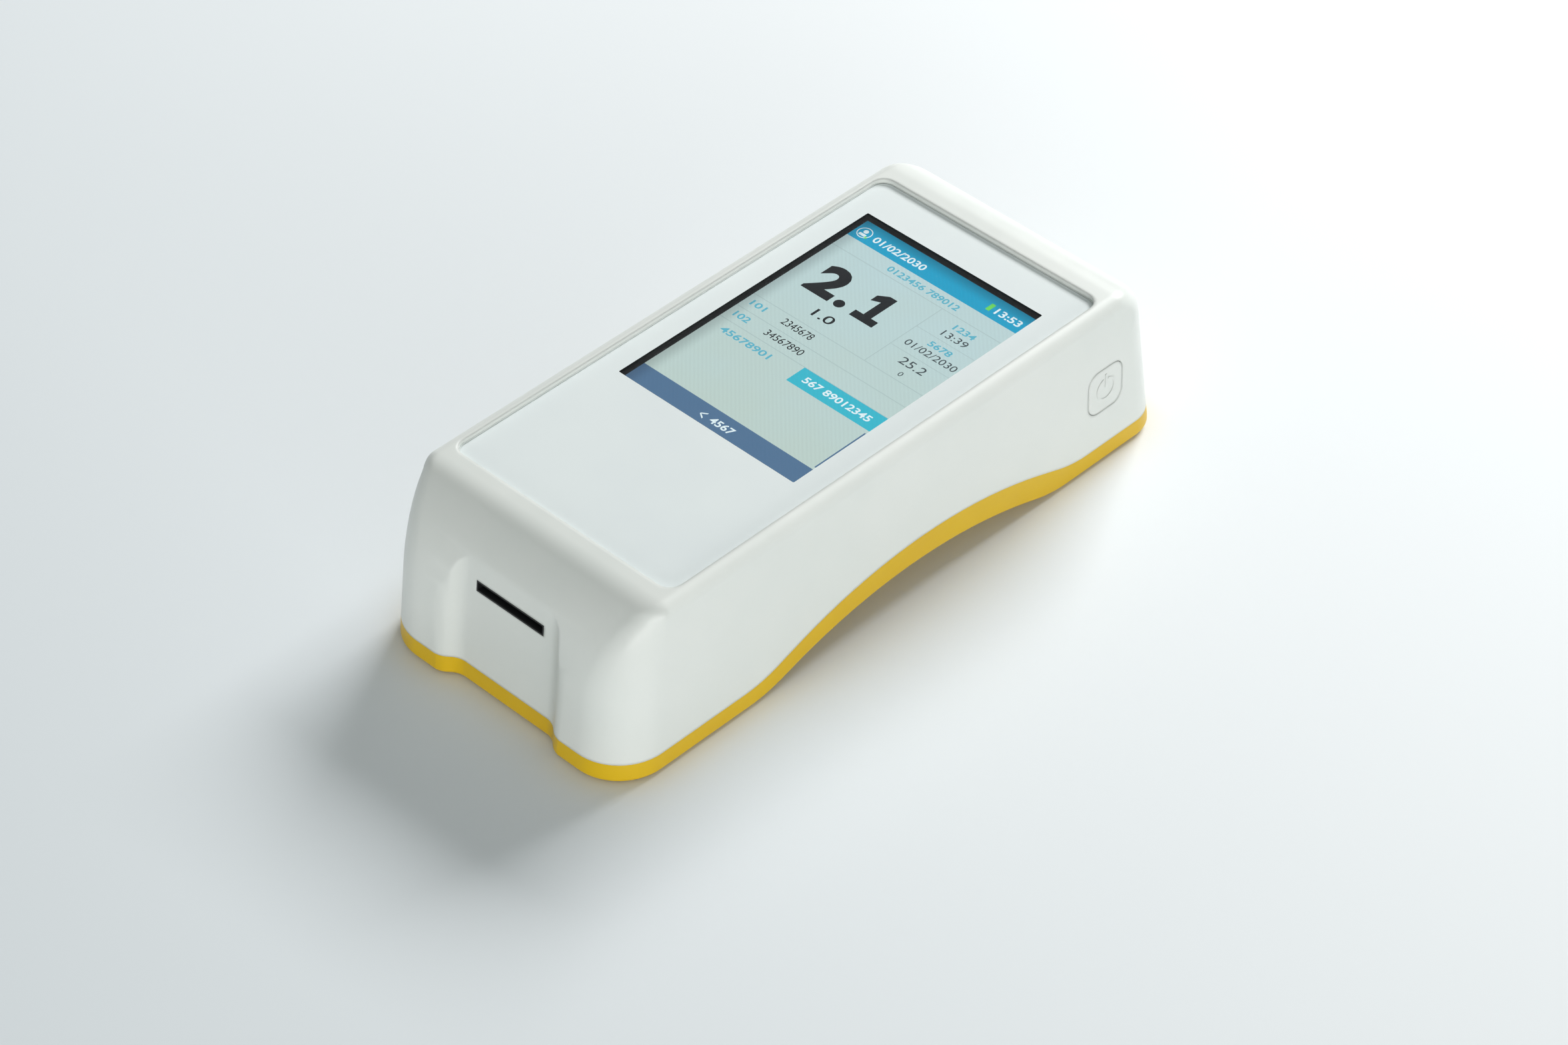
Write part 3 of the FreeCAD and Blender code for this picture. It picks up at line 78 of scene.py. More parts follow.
def add(tree, kind, sockets=None, **settings):
    """A node of one kind, with sockets filled by name or number: a value, or another socket."""
    node = tree.nodes.new("ShaderNode" + kind)
    for key, setting in settings.items():
        setattr(node, key, setting)
    for key, given in (sockets or {}).items():
        if isinstance(given, bpy.types.NodeSocket):
            tree.links.new(given, node.inputs[key])
        else:
            node.inputs[key].default_value = given
    return node


def sums(tree, operation, first, second):
    """One sum of two values, or of sockets that give them."""
    return add(tree, "Math", {0: first, 1: second}, operation=operation).outputs[0]


def spread(tree, given, start, end, low=0.0, high=1.0, **settings):
    """A value that runs from start to end, carried over to run from low to high and kept between them."""
    return add(tree, "MapRange", {"Value": given, "From Min": start, "From Max": end,
                                  "To Min": low, "To Max": high}, **settings).outputs["Result"]


def blend_into(tree, output, share, first, second):
    """Blend two shaders by a share from 0 to 1 and send the result to an output's surface."""
    both = add(tree, "MixShader", {0: share, 1: first.outputs[0], 2: second.outputs[0]})
    tree.links.new(both.outputs[0], tree.nodes[output].inputs["Surface"])


def linear(red, green, blue):
    """A screen colour from 0 to 255 as the linear colour that a shader takes."""
    c = np.array([red, green, blue], float) / 255
    c = np.where(c <= 0.04045, c / 12.92, ((c + 0.055) / 1.055) ** 2.4)
    return (*c.tolist(), 1.0)


def blank_paint(name):
    """A material with nodes, its tree and its main shader."""
    paint = bpy.data.materials.new(name)
    paint.use_nodes = True
    return paint, paint.node_tree, paint.node_tree.nodes["Principled BSDF"]


# %% [markdown]
# ## Moulded plastic
#
# A moulded shell isn't one flat colour. Spark-eroded tools leave a fine satin grain, the
# pigment drifts a little over a few centimetres, and handling polishes some areas. Three
# noises at three scales do this: grain drives bump, a middle one the roughness, and a broad
# one mixes two close tones. Object coordinates keep them fixed to the piece. On the white
# shell the shading also rounds each edge over about a millimetre, as a mould does.

# %% Recipe for plastics, rubber and foam
def noise(tree, size, detail=2.0, stretch=(1, 1, 1)):
    """Noise whose cells are about that many millimetres across, on Object coordinates."""
    place = add(tree, "TexCoord").outputs["Object"]
    mapped = add(tree, "Mapping", {"Vector": place, "Scale": stretch}).outputs["Vector"]
    cells = {"Vector": mapped, "Scale": 1 / (size * MM), "Detail": detail}
    return add(tree, "TexNoise", cells).outputs["Fac"]


def ranged(tree, given, low, high):
    """The middle part of a noise, 0.3 to 0.7, spread between two values."""
    return spread(tree, given, 0.3, 0.7, low, high)


def two_tones(tree, given, first, second):
    """A colour that runs from the first to the second as the value runs from 0 to 1."""
    return add(tree, "Mix", {0: given, 6: first, 7: second}, data_type="RGBA").outputs[2]


def moulded(name, tone, drift, rough, grain=0.35, depth=0.004, drift_size=22.0, metal=0.0,
            coat=0.0, stretch=(1, 1, 1), soft=0.0):
    """Satin material: tone drifting to another, roughness (low, high), grain size and depth in mm.

    soft rounds the shading of every edge over so many millimetres."""
    paint, tree, shader = blank_paint(name)
    broad = ranged(tree, noise(tree, drift_size), 0.0, 1.0)
    tree.links.new(two_tones(tree, broad, linear(*tone), linear(*drift)), shader.inputs["Base Color"])
    tree.links.new(ranged(tree, noise(tree, 6.0, 3.0), *rough), shader.inputs["Roughness"])
    fine = noise(tree, grain, 4.0, stretch)
    bump = add(tree, "Bump", {"Height": fine, "Distance": depth * MM, "Strength": 0.6})
    tree.links.new(bump.outputs["Normal"], shader.inputs["Normal"])
    if soft:
        round_edge = add(tree, "Bevel", {"Radius": soft * MM}, samples=6)
        tree.links.new(round_edge.outputs["Normal"], bump.inputs["Normal"])
    shader.inputs["Metallic"].default_value = metal
    shader.inputs["Coat Weight"].default_value = coat
    shader.inputs["Coat Roughness"].default_value = 0.12
    return paint


WHITE, YELLOW = (230, 233, 229), (225, 185, 0)
white_plastic = moulded("white_moulded_plastic", WHITE, (226, 230, 226), (0.30, 0.38), 0.45, 0.0025,
                        soft=1.2)
yellow_plastic = moulded("yellow_moulded_plastic", YELLOW, (221, 179, 0), (0.34, 0.42), 0.4, 0.003)
print("plastics made")

# %% [markdown]
# ## Board, metal and film
#
# Few of these are seen on the closed meter, but each is a real material in its place: a
# green solder mask with tracks under it, tinned and stamped metal with a drawn grain, amber
# film, a shrink sleeve, foam and rubber. They reuse the same recipe with other numbers, and
# the board adds a pattern of tracks.

# %% Finishes for the parts inside
def board_paint(name):
    """Green lacquer over copper: brick cells give tracks, which show through and stand proud."""
    paint, tree, shader = blank_paint(name)
    place = add(tree, "TexCoord").outputs["Object"]
    tracks = add(tree, "TexBrick", {"Vector": place, "Scale": 260.0, "Mortar Size": 0.06,
                                    "Color1": (0, 0, 0, 1), "Color2": (0, 0, 0, 1),
                                    "Mortar": (1, 1, 1, 1)}).outputs["Fac"]
    green = two_tones(tree, tracks, linear(20, 84, 52), linear(46, 118, 70))
    tree.links.new(green, shader.inputs["Base Color"])
    bump = add(tree, "Bump", {"Height": tracks, "Distance": 0.03 * MM, "Strength": 0.7})
    tree.links.new(bump.outputs["Normal"], shader.inputs["Normal"])
    tree.links.new(ranged(tree, noise(tree, 3.0), 0.22, 0.4), shader.inputs["Roughness"])
    return paint


DRAWN = (1, 0.08, 1)
FINISHES = {
    "white_print": moulded("white_back_print", (239, 245, 245), (236, 242, 243), (0.45, 0.55),
                           0.15, 0.001),
    "tape": moulded("black_foam_tape", (22, 22, 23), (30, 30, 31), (0.8, 0.95), 0.3, 0.03),
    "guide_black": moulded("black_moulded_guide", (20, 21, 22), (27, 28, 29), (0.42, 0.55), 0.3, 0.006),
    "nylon": moulded("glass_filled_nylon", (30, 31, 32), (40, 41, 42), (0.5, 0.65), 0.25, 0.01,
                     stretch=DRAWN),
    "white_tray": moulded("white_light_tray", (236, 238, 236), (228, 231, 230), (0.4, 0.5), 0.3, 0.003),
    "screw_steel": moulded("zinc_plated_steel", (178, 182, 186), (150, 156, 162), (0.25, 0.4),
                           0.2, 0.004, 4.0, 1.0),
    "tinned": moulded("tinned_shield", (192, 194, 196), (172, 175, 178), (0.2, 0.35),
                      0.3, 0.004, 5.0, 1.0, stretch=DRAWN),
    "stamped": moulded("stamped_stainless", (186, 188, 190), (166, 169, 172), (0.22, 0.36),
                       0.25, 0.003, 4.0, 1.0, stretch=DRAWN),
    "aluminium": moulded("machined_aluminium", (198, 200, 202), (182, 185, 188), (0.25, 0.4),
                         0.2, 0.004, 6.0, 1.0, stretch=DRAWN),
    "amber_film": moulded("amber_polyimide_film", (190, 112, 28), (172, 96, 20), (0.2, 0.32),
                          0.6, 0.003, 5.0),
    "ivory": moulded("ivory_nylon", (224, 214, 190), (214, 203, 178), (0.4, 0.5), 0.3, 0.004, 4.0),
    "epoxy": moulded("black_epoxy_package", (24, 25, 27), (32, 33, 35), (0.5, 0.65), 0.2, 0.006, 5.0),
    "barrel": moulded("black_anodised_barrel", (16, 16, 18), (26, 26, 28), (0.3, 0.42),
                      0.15, 0.004, 3.0, 0.4),
    "sleeve": moulded("blue_shrink_sleeve", (36, 84, 156), (28, 70, 138), (0.28, 0.4),
                      2.5, 0.05, 12.0, coat=0.3),
    "foam": moulded("grey_foam_pad", (96, 98, 100), (78, 80, 82), (0.85, 0.95), 0.4, 0.12, 3.0),
    "leads": moulded("red_silicone_wire", (178, 28, 30), (158, 22, 24), (0.35, 0.48), 0.5, 0.006, 4.0),
    "rubber": moulded("black_foot_rubber", (26, 27, 28), (38, 39, 40), (0.7, 0.85), 0.35, 0.02, 3.0),
    "board": board_paint("green_board"),
}
FINISHES["white_print"].node_tree.nodes["Principled BSDF"].inputs["Specular IOR Level"].default_value = 0.0
print(len(FINISHES), "inside finishes")

# %% [markdown]
# ## Which solid wears what
#
# One table names a finish and the record's material slot for each solid. A loop puts the
# finishes on. The shells, button, lens and screen panel get new surfaces further down, and
# their solids are hidden there.

# %% Dress the solids
def dress(node, paint):
    """Put one finish on a solid of the frame."""
    solids[node].data.materials.clear()
    solids[node].data.materials.append(paint)


WEARS = {
    "white_print white_print": "lens_print",
    "tape adhesive": "lens_adhesive",
    "white_tray light_guide": "lcd_backlight",
    "nylon bracket": "display_bracket",
    "screw_steel screw_steel": "bracket_screws board_screws guide_screws housing_screws",
    "amber_film ribbon": "display_flex",
    "ivory connector": "display_connector battery_connector",
    "board board": "main_board camera_board led_board",
    "epoxy chip_black": "processor",
    "tinned shield": "wireless_module",
    "stamped steel": "usb_socket lever_pin",
    "epoxy switch_black": "buzzer tact_switch switch_plunger detect_switch",
    "guide_black guide_black": "chip_guide optics_housing detect_lever",
    "aluminium aluminium": "heater_plate",
    "amber_film film_amber": "heater_film",
    "barrel lens_barrel": "camera_lens",
    "sleeve battery": "battery_pack",
    "foam foam": "battery_pad",
    "leads lead": "battery_leads",
    "rubber foot_rubber": "foot_pads",
}
for pair, names in WEARS.items():
    finish, slot_name = pair.split()
    for name in names.split():
        dress(name, FINISHES[finish])
print("dressed", sum(len(names.split()) for names in WEARS.values()), "solids")

# %% [markdown]
# ## The shells and the button
#
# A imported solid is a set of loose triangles, so it shades in facets. A merged copy shares
# its points, and then normals can run smoothly over the big rounds. Edges that turn more
# than a set angle stay crisp, as a real parting edge does, and normals weighted by area keep
# the flat walls flat next to their fillets.

# %% Smooth copies of the moulded parts
CRISP = math.radians(32)


def smooth_copy(name, node, paint, body="case"):
    """A merged copy of a solid with smooth rounds and crisp edges, shown instead of it."""
    form = bmesh.new()
    form.from_mesh(solids[node].data)
    bmesh.ops.remove_doubles(form, verts=form.verts, dist=0.002 * MM)
    for edge in form.edges:
        turns = len(edge.link_faces) != 2 or edge.calc_face_angle(0.0) > CRISP
        edge.smooth = not turns
    for face in form.faces:
        face.smooth = True
        face.material_index = 0
    mesh = bpy.data.meshes.new(name)
    form.to_mesh(mesh)
    form.free()
    mesh.materials.clear()
    mesh.materials.append(paint)
    thing = bpy.data.objects.new(name, mesh)
    bpy.context.scene.collection.objects.link(thing)
    weigh = thing.modifiers.new("even_normals", "WEIGHTED_NORMAL")
    weigh.mode, weigh.weight, weigh.keep_sharp = "FACE_AREA", 60, True
    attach(thing, body)
    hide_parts(node)
    print(name, len(mesh.polygons), "faces")


smooth_copy("upper_shell", "upper_housing", white_plastic)
smooth_copy("lower_shell", "lower_housing", yellow_plastic)
smooth_copy("button_cap", "power_button", white_plastic, "button")

# %% [markdown]
# ## The lens
#
# The lens is a 1 mm sheet of clear acrylic with rounded corners and a fine polished bevel.
# Its outline is a rounded rectangle worked out from an angle, and rings of that outline are
# stacked from the bottom up over the bevel to the top. Its lower face lies a hair above what
# it rests on, so that no two faces share a plane. The print is lit through it, so the rays
# that carry that light pass it as if it were air.

# %% Rounded plates from rings
def rounded_ring(low, high, corner, steps=24):
    """Points round a rectangle with quarter-circle corners, from the far right corner, turning left.

    Each corner point is the corner's centre plus its radius times (cosine, sine) of an angle."""
    (x0, y0), (x1, y1) = low, high
    turn = np.linspace(0, np.pi / 2, steps)
    rows = []
    for k, (cx, cy) in enumerate([(x1 - corner, y1 - corner), (x0 + corner, y1 - corner),
                                  (x0 + corner, y0 + corner), (x1 - corner, y0 + corner)]):
        a = turn + k * np.pi / 2
        rows.append(np.stack([cx + corner * np.cos(a), cy + corner * np.sin(a)], 1))
    return np.concatenate(rows)


def plate_mesh(low, high, corner, bottom, top, bevel):
    """A plate from rings at five heights: full size up the side, drawn in at the bottom and top."""
    levels = [(bottom, bevel), (bottom + bevel, 0), (top - bevel, 0),
              (top - bevel * 0.3, bevel * 0.3), (top, bevel)]
    rings = []
    for level, inward in levels:
        ring = rounded_ring(np.add(low, inward), np.subtract(high, inward), corner - inward)
        rings.append(np.column_stack([ring, np.full(len(ring), level)]))
    count = len(rings[0])
    points = np.concatenate(rings)
    i = np.arange(count)
    j = (i + 1) % count
    faces = [np.column_stack([i + k * count, j + k * count, j + (k + 1) * count, i + (k + 1) * count])
             for k in range(len(rings) - 1)]
    faces = np.concatenate(faces).tolist()
    faces.append(list(i[::-1]))
    faces.append(list(i + (len(rings) - 1) * count))
    return points, faces


def box_mesh(x0, x1, y0, y1, z0, z1):
    """The eight corners and six outward faces of a block."""
    points = [(x, y, z) for z in (z0, z1) for x, y in ((x0, y0), (x1, y0), (x1, y1), (x0, y1))]
    faces = [(3, 2, 1, 0), (4, 5, 6, 7), (0, 1, 5, 4), (1, 2, 6, 5), (2, 3, 7, 6), (3, 0, 4, 7)]
    return np.array(points), faces


def clear_paint(name, index, rough, tint):
    """Clear plastic: glass to the eye, and air to the light that falls on what lies under it."""
    paint, tree, shader = blank_paint(name)
    shader.inputs["Transmission Weight"].default_value = 1.0
    shader.inputs["IOR"].default_value = index
    shader.inputs["Base Color"].default_value = linear(*tint)
    tree.links.new(ranged(tree, noise(tree, 9.0, 3.0), *rough), shader.inputs["Roughness"])
    air = add(tree, "BsdfTransparent", {"Color": (1.0, 1.0, 1.0, 1)})
    path = add(tree, "LightPath").outputs
    light = sums(tree, "MAXIMUM", path["Is Shadow Ray"], path["Is Diffuse Ray"])
    blend_into(tree, "Material Output", light, shader, air)
    return paint


lens_paint = clear_paint("clear_acrylic", 1.49, (0.02, 0.05), (254, 255, 255))
film_paint = clear_paint("clear_sensor_film", 1.04, (0.0, 0.02), (250, 253, 253))
lens_low, lens_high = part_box("cover_lens")
HAIR, LENS_CORNER, LENS_BEVEL = 0.012 * MM, 3.0 * MM, 0.18 * MM
points, faces = plate_mesh(lens_low[:2], lens_high[:2], LENS_CORNER, lens_low.z + HAIR, lens_high.z,
                           LENS_BEVEL)
piece("lens_sheet", points, faces, lens_paint, smooth=False,
      stands_for=["cover_lens"])
dress("touch_film", film_paint)
print("lens", len(faces), "faces")

# %% [markdown]
# ## The white mask
#
# White ink hides everything under the lens except the screen. Ink lies so close to the face
# of the lens that the rim throws hardly any shade on it, so the mask is drawn as a thin
# sheet a little under the face and stands for the printed sheet of the frame. Two rings with
# the same number of points, the outline and the window, are joined by one band of faces. A
# fine bead of white glue fills the gap between the lens and the shell in the same way.

# %% Mask with the window in it
MASK_DEPTH, MASK_THICK, MASK_INSET = 0.3 * MM, 0.03 * MM, 0.08 * MM
GAP, BEAD_DROP = 0.3 * MM, 0.1 * MM
WINDOW, WINDOW_CORNER = ((-25.51 * MM, -21.99 * MM), (25.23 * MM, 53.41 * MM)), 0.3 * MM


def ring_sheet(outline, opening, bottom, top):
    """A sheet with an opening: outline and opening rings at two heights, joined all round."""
    points = np.concatenate([np.column_stack([ring, np.full(len(ring), z)])
                             for z in (bottom, top) for ring in (outline, opening)])
    count = len(outline)
    i = np.arange(count)
    j = (i + 1) % count
    joined = [(2, 3), (1, 0), (0, 2), (3, 1)]
    faces = np.concatenate([np.column_stack([i + b * count, j + b * count, j + t * count, i + t * count])
                            for b, t in joined])
    return points, faces.tolist()


def widened(reach):
    """The lens outline grown by so much all round, its corner with it."""
    return rounded_ring(np.subtract(lens_low[:2], reach), np.add(lens_high[:2], reach),
                        LENS_CORNER + reach)


mask_top = lens_high.z - MASK_DEPTH
points, faces = ring_sheet(widened(-MASK_INSET), rounded_ring(*WINDOW, WINDOW_CORNER),
                           mask_top - MASK_THICK, mask_top)
piece("white_mask", points, faces, FINISHES["white_print"], smooth=False,
      stands_for=["lens_print"])
points, faces = ring_sheet(widened(GAP - HAIR), widened(HAIR), lens_low.z, lens_high.z - BEAD_DROP)
bead_paint = moulded("white_glue_bead", (224, 229, 228), (218, 224, 222), (0.3, 0.4), 0.3, 0.002)
piece("edge_bead", points, faces, bead_paint, smooth=False)
print("mask and bead", 2 * len(faces), "faces")

# %% [markdown]
# ## The screen
#
# The panel is black glass with a lit field of 48.96 by 73.44 mm in it. It is built as a slab
# whose top is split into the black border and the field, so that the border shows on the
# left and far sides, where the window's edge is lifted above the panel. The field glows in a
# pale blue-green that is warmer towards the near end, with the fine weave of the pixels, and
# is darkened along its far and left edges by painted shade of the white mask's edge.

# %% Panel, border and lit field
panel_low, panel_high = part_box("lcd_panel")
# Glow strength, how far the painted shade of the mask's edge reaches into the field, and the depth of the
# pixel weave.
GLOW, MASK_SHADE_WIDTH, WEAVE = 1.12, 4.0 * MM, 0.03
FIELD = (-24.48 * MM, 24.48 * MM, -21.17 * MM, 52.27 * MM)
SCREEN_TOP = panel_high.z - 0.02 * MM
LAYER, SCREEN_GAP = 0.012 * MM, 0.0002 * MM
points, faces = box_mesh(panel_low.x, panel_high.x, panel_low.y, panel_high.y, panel_low.z, SCREEN_TOP)
panel_paint = moulded("black_screen_glass", (8, 9, 11), (11, 12, 14), (0.12, 0.2), 0.8, 0.001)
piece("screen_panel", points, faces, panel_paint, smooth=False,
      stands_for=["lcd_panel"])


def glow_paint(name, near, far=None):
    """A lit colour, running from near to far along the field, darkened at its far and left edges by painted
    shade of the mask's edge.
    """
    paint, tree, shader = blank_paint(name)
    place = add(tree, "TexCoord").outputs["Object"]
    split = add(tree, "SeparateXYZ", {0: place}).outputs
    share = spread(tree, split["Y"], FIELD[2], FIELD[3])
    drift = sums(tree, "ADD", share, ranged(tree, noise(tree, 14.0), -0.12, 0.12))
    tone = two_tones(tree, drift, linear(*near), linear(*(far or near)))
    soft = {"interpolation_type": "SMOOTHSTEP"}
    # Painted shade: the field is darkened over the last few mm at its left and far edges, standing for the
    # shade of the white mask's edge.
    left = spread(tree, split["X"], FIELD[0], FIELD[0] + MASK_SHADE_WIDTH, 0.7, 1.0, **soft)
    back = spread(tree, split["Y"], FIELD[3] - MASK_SHADE_WIDTH, FIELD[3], 1.0, 0.6, **soft)
    rows = add(tree, "TexWave", {"Vector": place, "Scale": 520.0, "Distortion": 0.0},
               bands_direction="DIAGONAL").outputs["Fac"]
    weave_and_mask_shade = ranged(tree, rows, 1.0 - WEAVE, 1.0)
    # The painted shade at the edges is multiplied into the pixel weave.
    for edge in (left, back):
        weave_and_mask_shade = sums(tree, "MULTIPLY", weave_and_mask_shade, edge)
    lit = add(tree, "VectorMath", {0: tone, "Scale": weave_and_mask_shade}, operation="SCALE").outputs[0]
    tree.links.new(lit, shader.inputs["Emission Color"])
    shader.inputs["Emission Strength"].default_value = GLOW
    shader.inputs["Base Color"].default_value = (0.01, 0.01, 0.012, 1)
    shader.inputs["Roughness"].default_value = 0.6
    shader.inputs["Specular IOR Level"].default_value = 0.0
    return paint


def slab_piece(name, boxes, layer, paint):
    """Thin blocks on the screen, given as (x0, x1, y0, y1) in mm, joined into one piece."""
    points, faces = [], []
    for x0, x1, y0, y1 in boxes:
        p, f = box_mesh(x0 * MM, x1 * MM, y0 * MM, y1 * MM, SCREEN_TOP + SCREEN_GAP,
                        SCREEN_TOP + layer * LAYER)
        faces += [[i + len(points) for i in face] for face in f]
        points += p.tolist()
    piece(name, points, faces, paint, smooth=False)


slab_piece("screen_field", [[v / MM for v in FIELD]], 1,
           glow_paint("lit_field", (189, 206, 199), (189, 212, 215)))

# %% [markdown]
# ## What the screen shows
#
# The picture is plain blocks and plain numbers: a header with the time, a big reading, rows
# of smaller figures, a highlighted block and a bar at the near edge. Blocks are thin slabs.
# Figures start as Blender text, become meshes and are stretched to the room they have. Each
# colour is one piece, a hair above the one below.

# %% Bars and lines
STEPS, PICTURE_LEFT, PICTURE_FAR = 13, -25.45, 53.41


def across(px):
    """Millimetres to the right, from a place counted in thirteenths of one from the picture's left."""
    return px / STEPS + PICTURE_LEFT


def up(py):
    """Millimetres towards the back, from a place counted in the same steps from its far edge."""
    return PICTURE_FAR - py / STEPS


def area(x0, x1, y0, y1):
    """A block in mm from left, right, far and near places, kept inside the lit field."""
    left, right, near, far = (v / MM for v in FIELD)
    return (max(across(x0), left), min(across(x1), right), max(up(y1), near), min(up(y0), far))


slate_paint = glow_paint("slate_bar", (80, 113, 146))
slab_piece("header_bar", [area(-5, 700, 0, 99)], 2, glow_paint("header_blue", (22, 158, 198)))
slab_piece("near_bar", [area(-5, 700, 896, 1100)], 2, slate_paint)
slab_piece("side_mark", [area(644, 700, 692, 886)], 2, slate_paint)
slab_piece("action_block", [area(338, 700, 606, 679)], 2, glow_paint("action_blue", (54, 182, 203)))
rules = [area(-5, 700, y, y + 2.5) for y in (157, 470, 538, 604)]
rules += [area(432, 700, y, y + 2) for y in (262, 366)] + [area(431, 433.5, 158, 470)]
slab_piece("thin_rules", rules, 1.5, glow_paint("faint_lines", (172, 191, 188), (174, 195, 197)))


# %% Figures
def numeral_one(x0, x1, y0, y1):
    """A bold figure one: foot, stem and flag as one outline, in shares of its block, made thick."""
    shape = np.array([(0, 1), (1, 1), (1, 0.79), (0.68, 0.79), (0.68, 0), (0.36, 0), (0, 0.15), (0, 0.36),
                      (0.34, 0.27), (0.34, 0.79), (0, 0.79)])
    left, right, near, far = area(x0, x1, y0, y1)
    flat = np.column_stack([left + shape[:, 0] * (right - left), far + shape[:, 1] * (near - far)])
    count = len(flat)
    points = np.concatenate([np.column_stack([flat, np.full(count, z)]) for z in (0.0, 1.0)])
    i = np.arange(count)
    j = (i + 1) % count
    faces = np.column_stack([i, j, j + count, i + count]).tolist()
    return points, faces + [list(i[::-1]), list(i + count)]


def figures(text, x0, x1, y0, y1, weight=0.0, slant=0.0):
    """Text as a mesh stretched to fill a block on the screen: its own box is mapped to that one."""
    curve = bpy.data.curves.new("figures", "FONT")
    curve.body, curve.offset, curve.shear = text, weight, slant
    curve.extrude, curve.resolution_u = 0.5, 4
    draft = bpy.data.objects.new("figures", curve)
    bpy.context.scene.collection.objects.link(draft)
    bpy.context.view_layer.update()
    mesh = bpy.data.meshes.new_from_object(draft.evaluated_get(bpy.context.evaluated_depsgraph_get()))
    flat = np.zeros(len(mesh.vertices) * 3)
    mesh.vertices.foreach_get("co", flat)
    p = flat.reshape(-1, 3)
    faces = [list(face.vertices) for face in mesh.polygons]
    bpy.data.objects.remove(draft)
    low, high = p.min(0), p.max(0)
    left, right, near, far = area(x0, x1, y0, y1)
    share = (p - low) / np.maximum(high - low, 1e-9)
    place = np.column_stack([left + share[:, 0] * (right - left), near + share[:, 1] * (far - near),
                             share[:, 2]])
    return place, faces


def lettered(name, rows, layer, paint):
    """Several rows of figures and blocks in one colour, joined into one thin piece."""
    points, faces = [], []
    for row in rows:
        place, shapes = figures(*row) if isinstance(row[0], str) else row
        faces += [[i + len(points) for i in face] for face in shapes]
        points += place.tolist()
    p = np.array(points)
    p[:, 2] = SCREEN_TOP / MM + LAYER / MM * (layer - 1 + p[:, 2])
    piece(name, p * MM, faces, paint, smooth=False)


def disc(cx, cy, radius, inner=0.0, count=36):
    """A flat disc or ring on the screen: two circles at two heights, joined all round."""
    a = np.linspace(0, 2 * np.pi, count, endpoint=False)
    round_it = np.column_stack([np.cos(a), np.sin(a)])
    outer, hole = [(across(cx), up(cy)) + reach / STEPS * round_it for reach in (radius, inner)]
    return ring_sheet(outer, hole, 0.0, 1.0)


def block(x0, x1, y0, y1):
    """A block one layer thick, as points and faces, in the same places as area."""
    left, right, near, far = area(x0, x1, y0, y1)
    return box_mesh(left, right, near, far, 0.0, 1.0)


dark_paint = glow_paint("dark_figures", (26, 29, 31), (18, 21, 23))
grey_paint = glow_paint("grey_figures", (62, 72, 76))
cyan_paint = glow_paint("cyan_figures", (92, 176, 198), (92, 178, 200))
pale_paint = glow_paint("pale_figures", (226, 240, 244))
green_paint = glow_paint("green_marks", (110, 214, 92))
lettered("big_reading", [("2", 80, 181, 218, 357, 0.045), disc(213, 341, 17),
                         numeral_one(264, 349, 221, 356)], 3, dark_paint)
lettered("dark_rows", [("1.0", 188, 260, 396, 431, 0.008), ("2345678", 154, 266, 487, 515),
                       ("34567890", 154, 293, 555, 582)], 3, dark_paint)
lettered("side_readings", [("13:39", 503, 592, 220, 246), ("01/02/2030", 456, 641, 317, 343),
                           ("25.2", 500, 589, 382, 413), ("0", 537, 550, 436, 455)], 3, grey_paint)
lettered("cyan_rows", [("0123456 789012", 201, 466, 117, 142, 0.02), ("1234", 510, 586, 182, 206, 0.02),
                       ("5678", 507, 588, 280, 304, 0.02), ("101", 35, 88, 491, 515, 0.02),
                       ("102", 35, 91, 557, 582, 0.02), ("45678901", 55, 240, 629, 655, 0.02)], 3, cyan_paint)
lettered("pale_rows", [("01/02/2030", 83, 278, 48, 76, 0.02), ("13:53", 545, 636, 48, 76, 0.02),
                       ("567 89012345", 371, 618, 629, 656, 0.02), ("4567", 309, 393, 924, 951, 0.02),
                       ("<", 271, 289, 925, 953, 0.0), disc(45, 61, 24, 21), disc(45, 55, 8),
                       block(33, 57, 66, 76)], 3, pale_paint)
lettered("green_marks", [block(516, 530, 45, 77), disc(61, 76, 5)], 3, green_paint)
print("screen picture made")

# %% [markdown]
# ## Table, lamps and camera
#
# The meter stands on a pale table whose tone is painted brighter towards the far right, as
# painted falloff of the light from the lamps behind it. A wide soft lamp behind it, a little
# to the left, throws the shadow forwards, and a long low one fills the side that faces the
# camera. The rest of the light comes evenly from the room. What the camera, gloss and glass
# see of the room is set apart from that: pale low down, dark at the height that the lens
# mirrors and bright above it. The camera stands where the photographer stood.

# %% Table
PALE = (0.9, 0.93, 0.95, 1.0)


def seen_ray(tree):
    """1 for a ray from the camera, or one that gloss or glass sends on, and 0 for light itself."""
    path = add(tree, "LightPath").outputs
    gloss = sums(tree, "MAXIMUM", path["Is Camera Ray"], path["Is Glossy Ray"])
    return sums(tree, "MAXIMUM", gloss, path["Is Transmission Ray"])


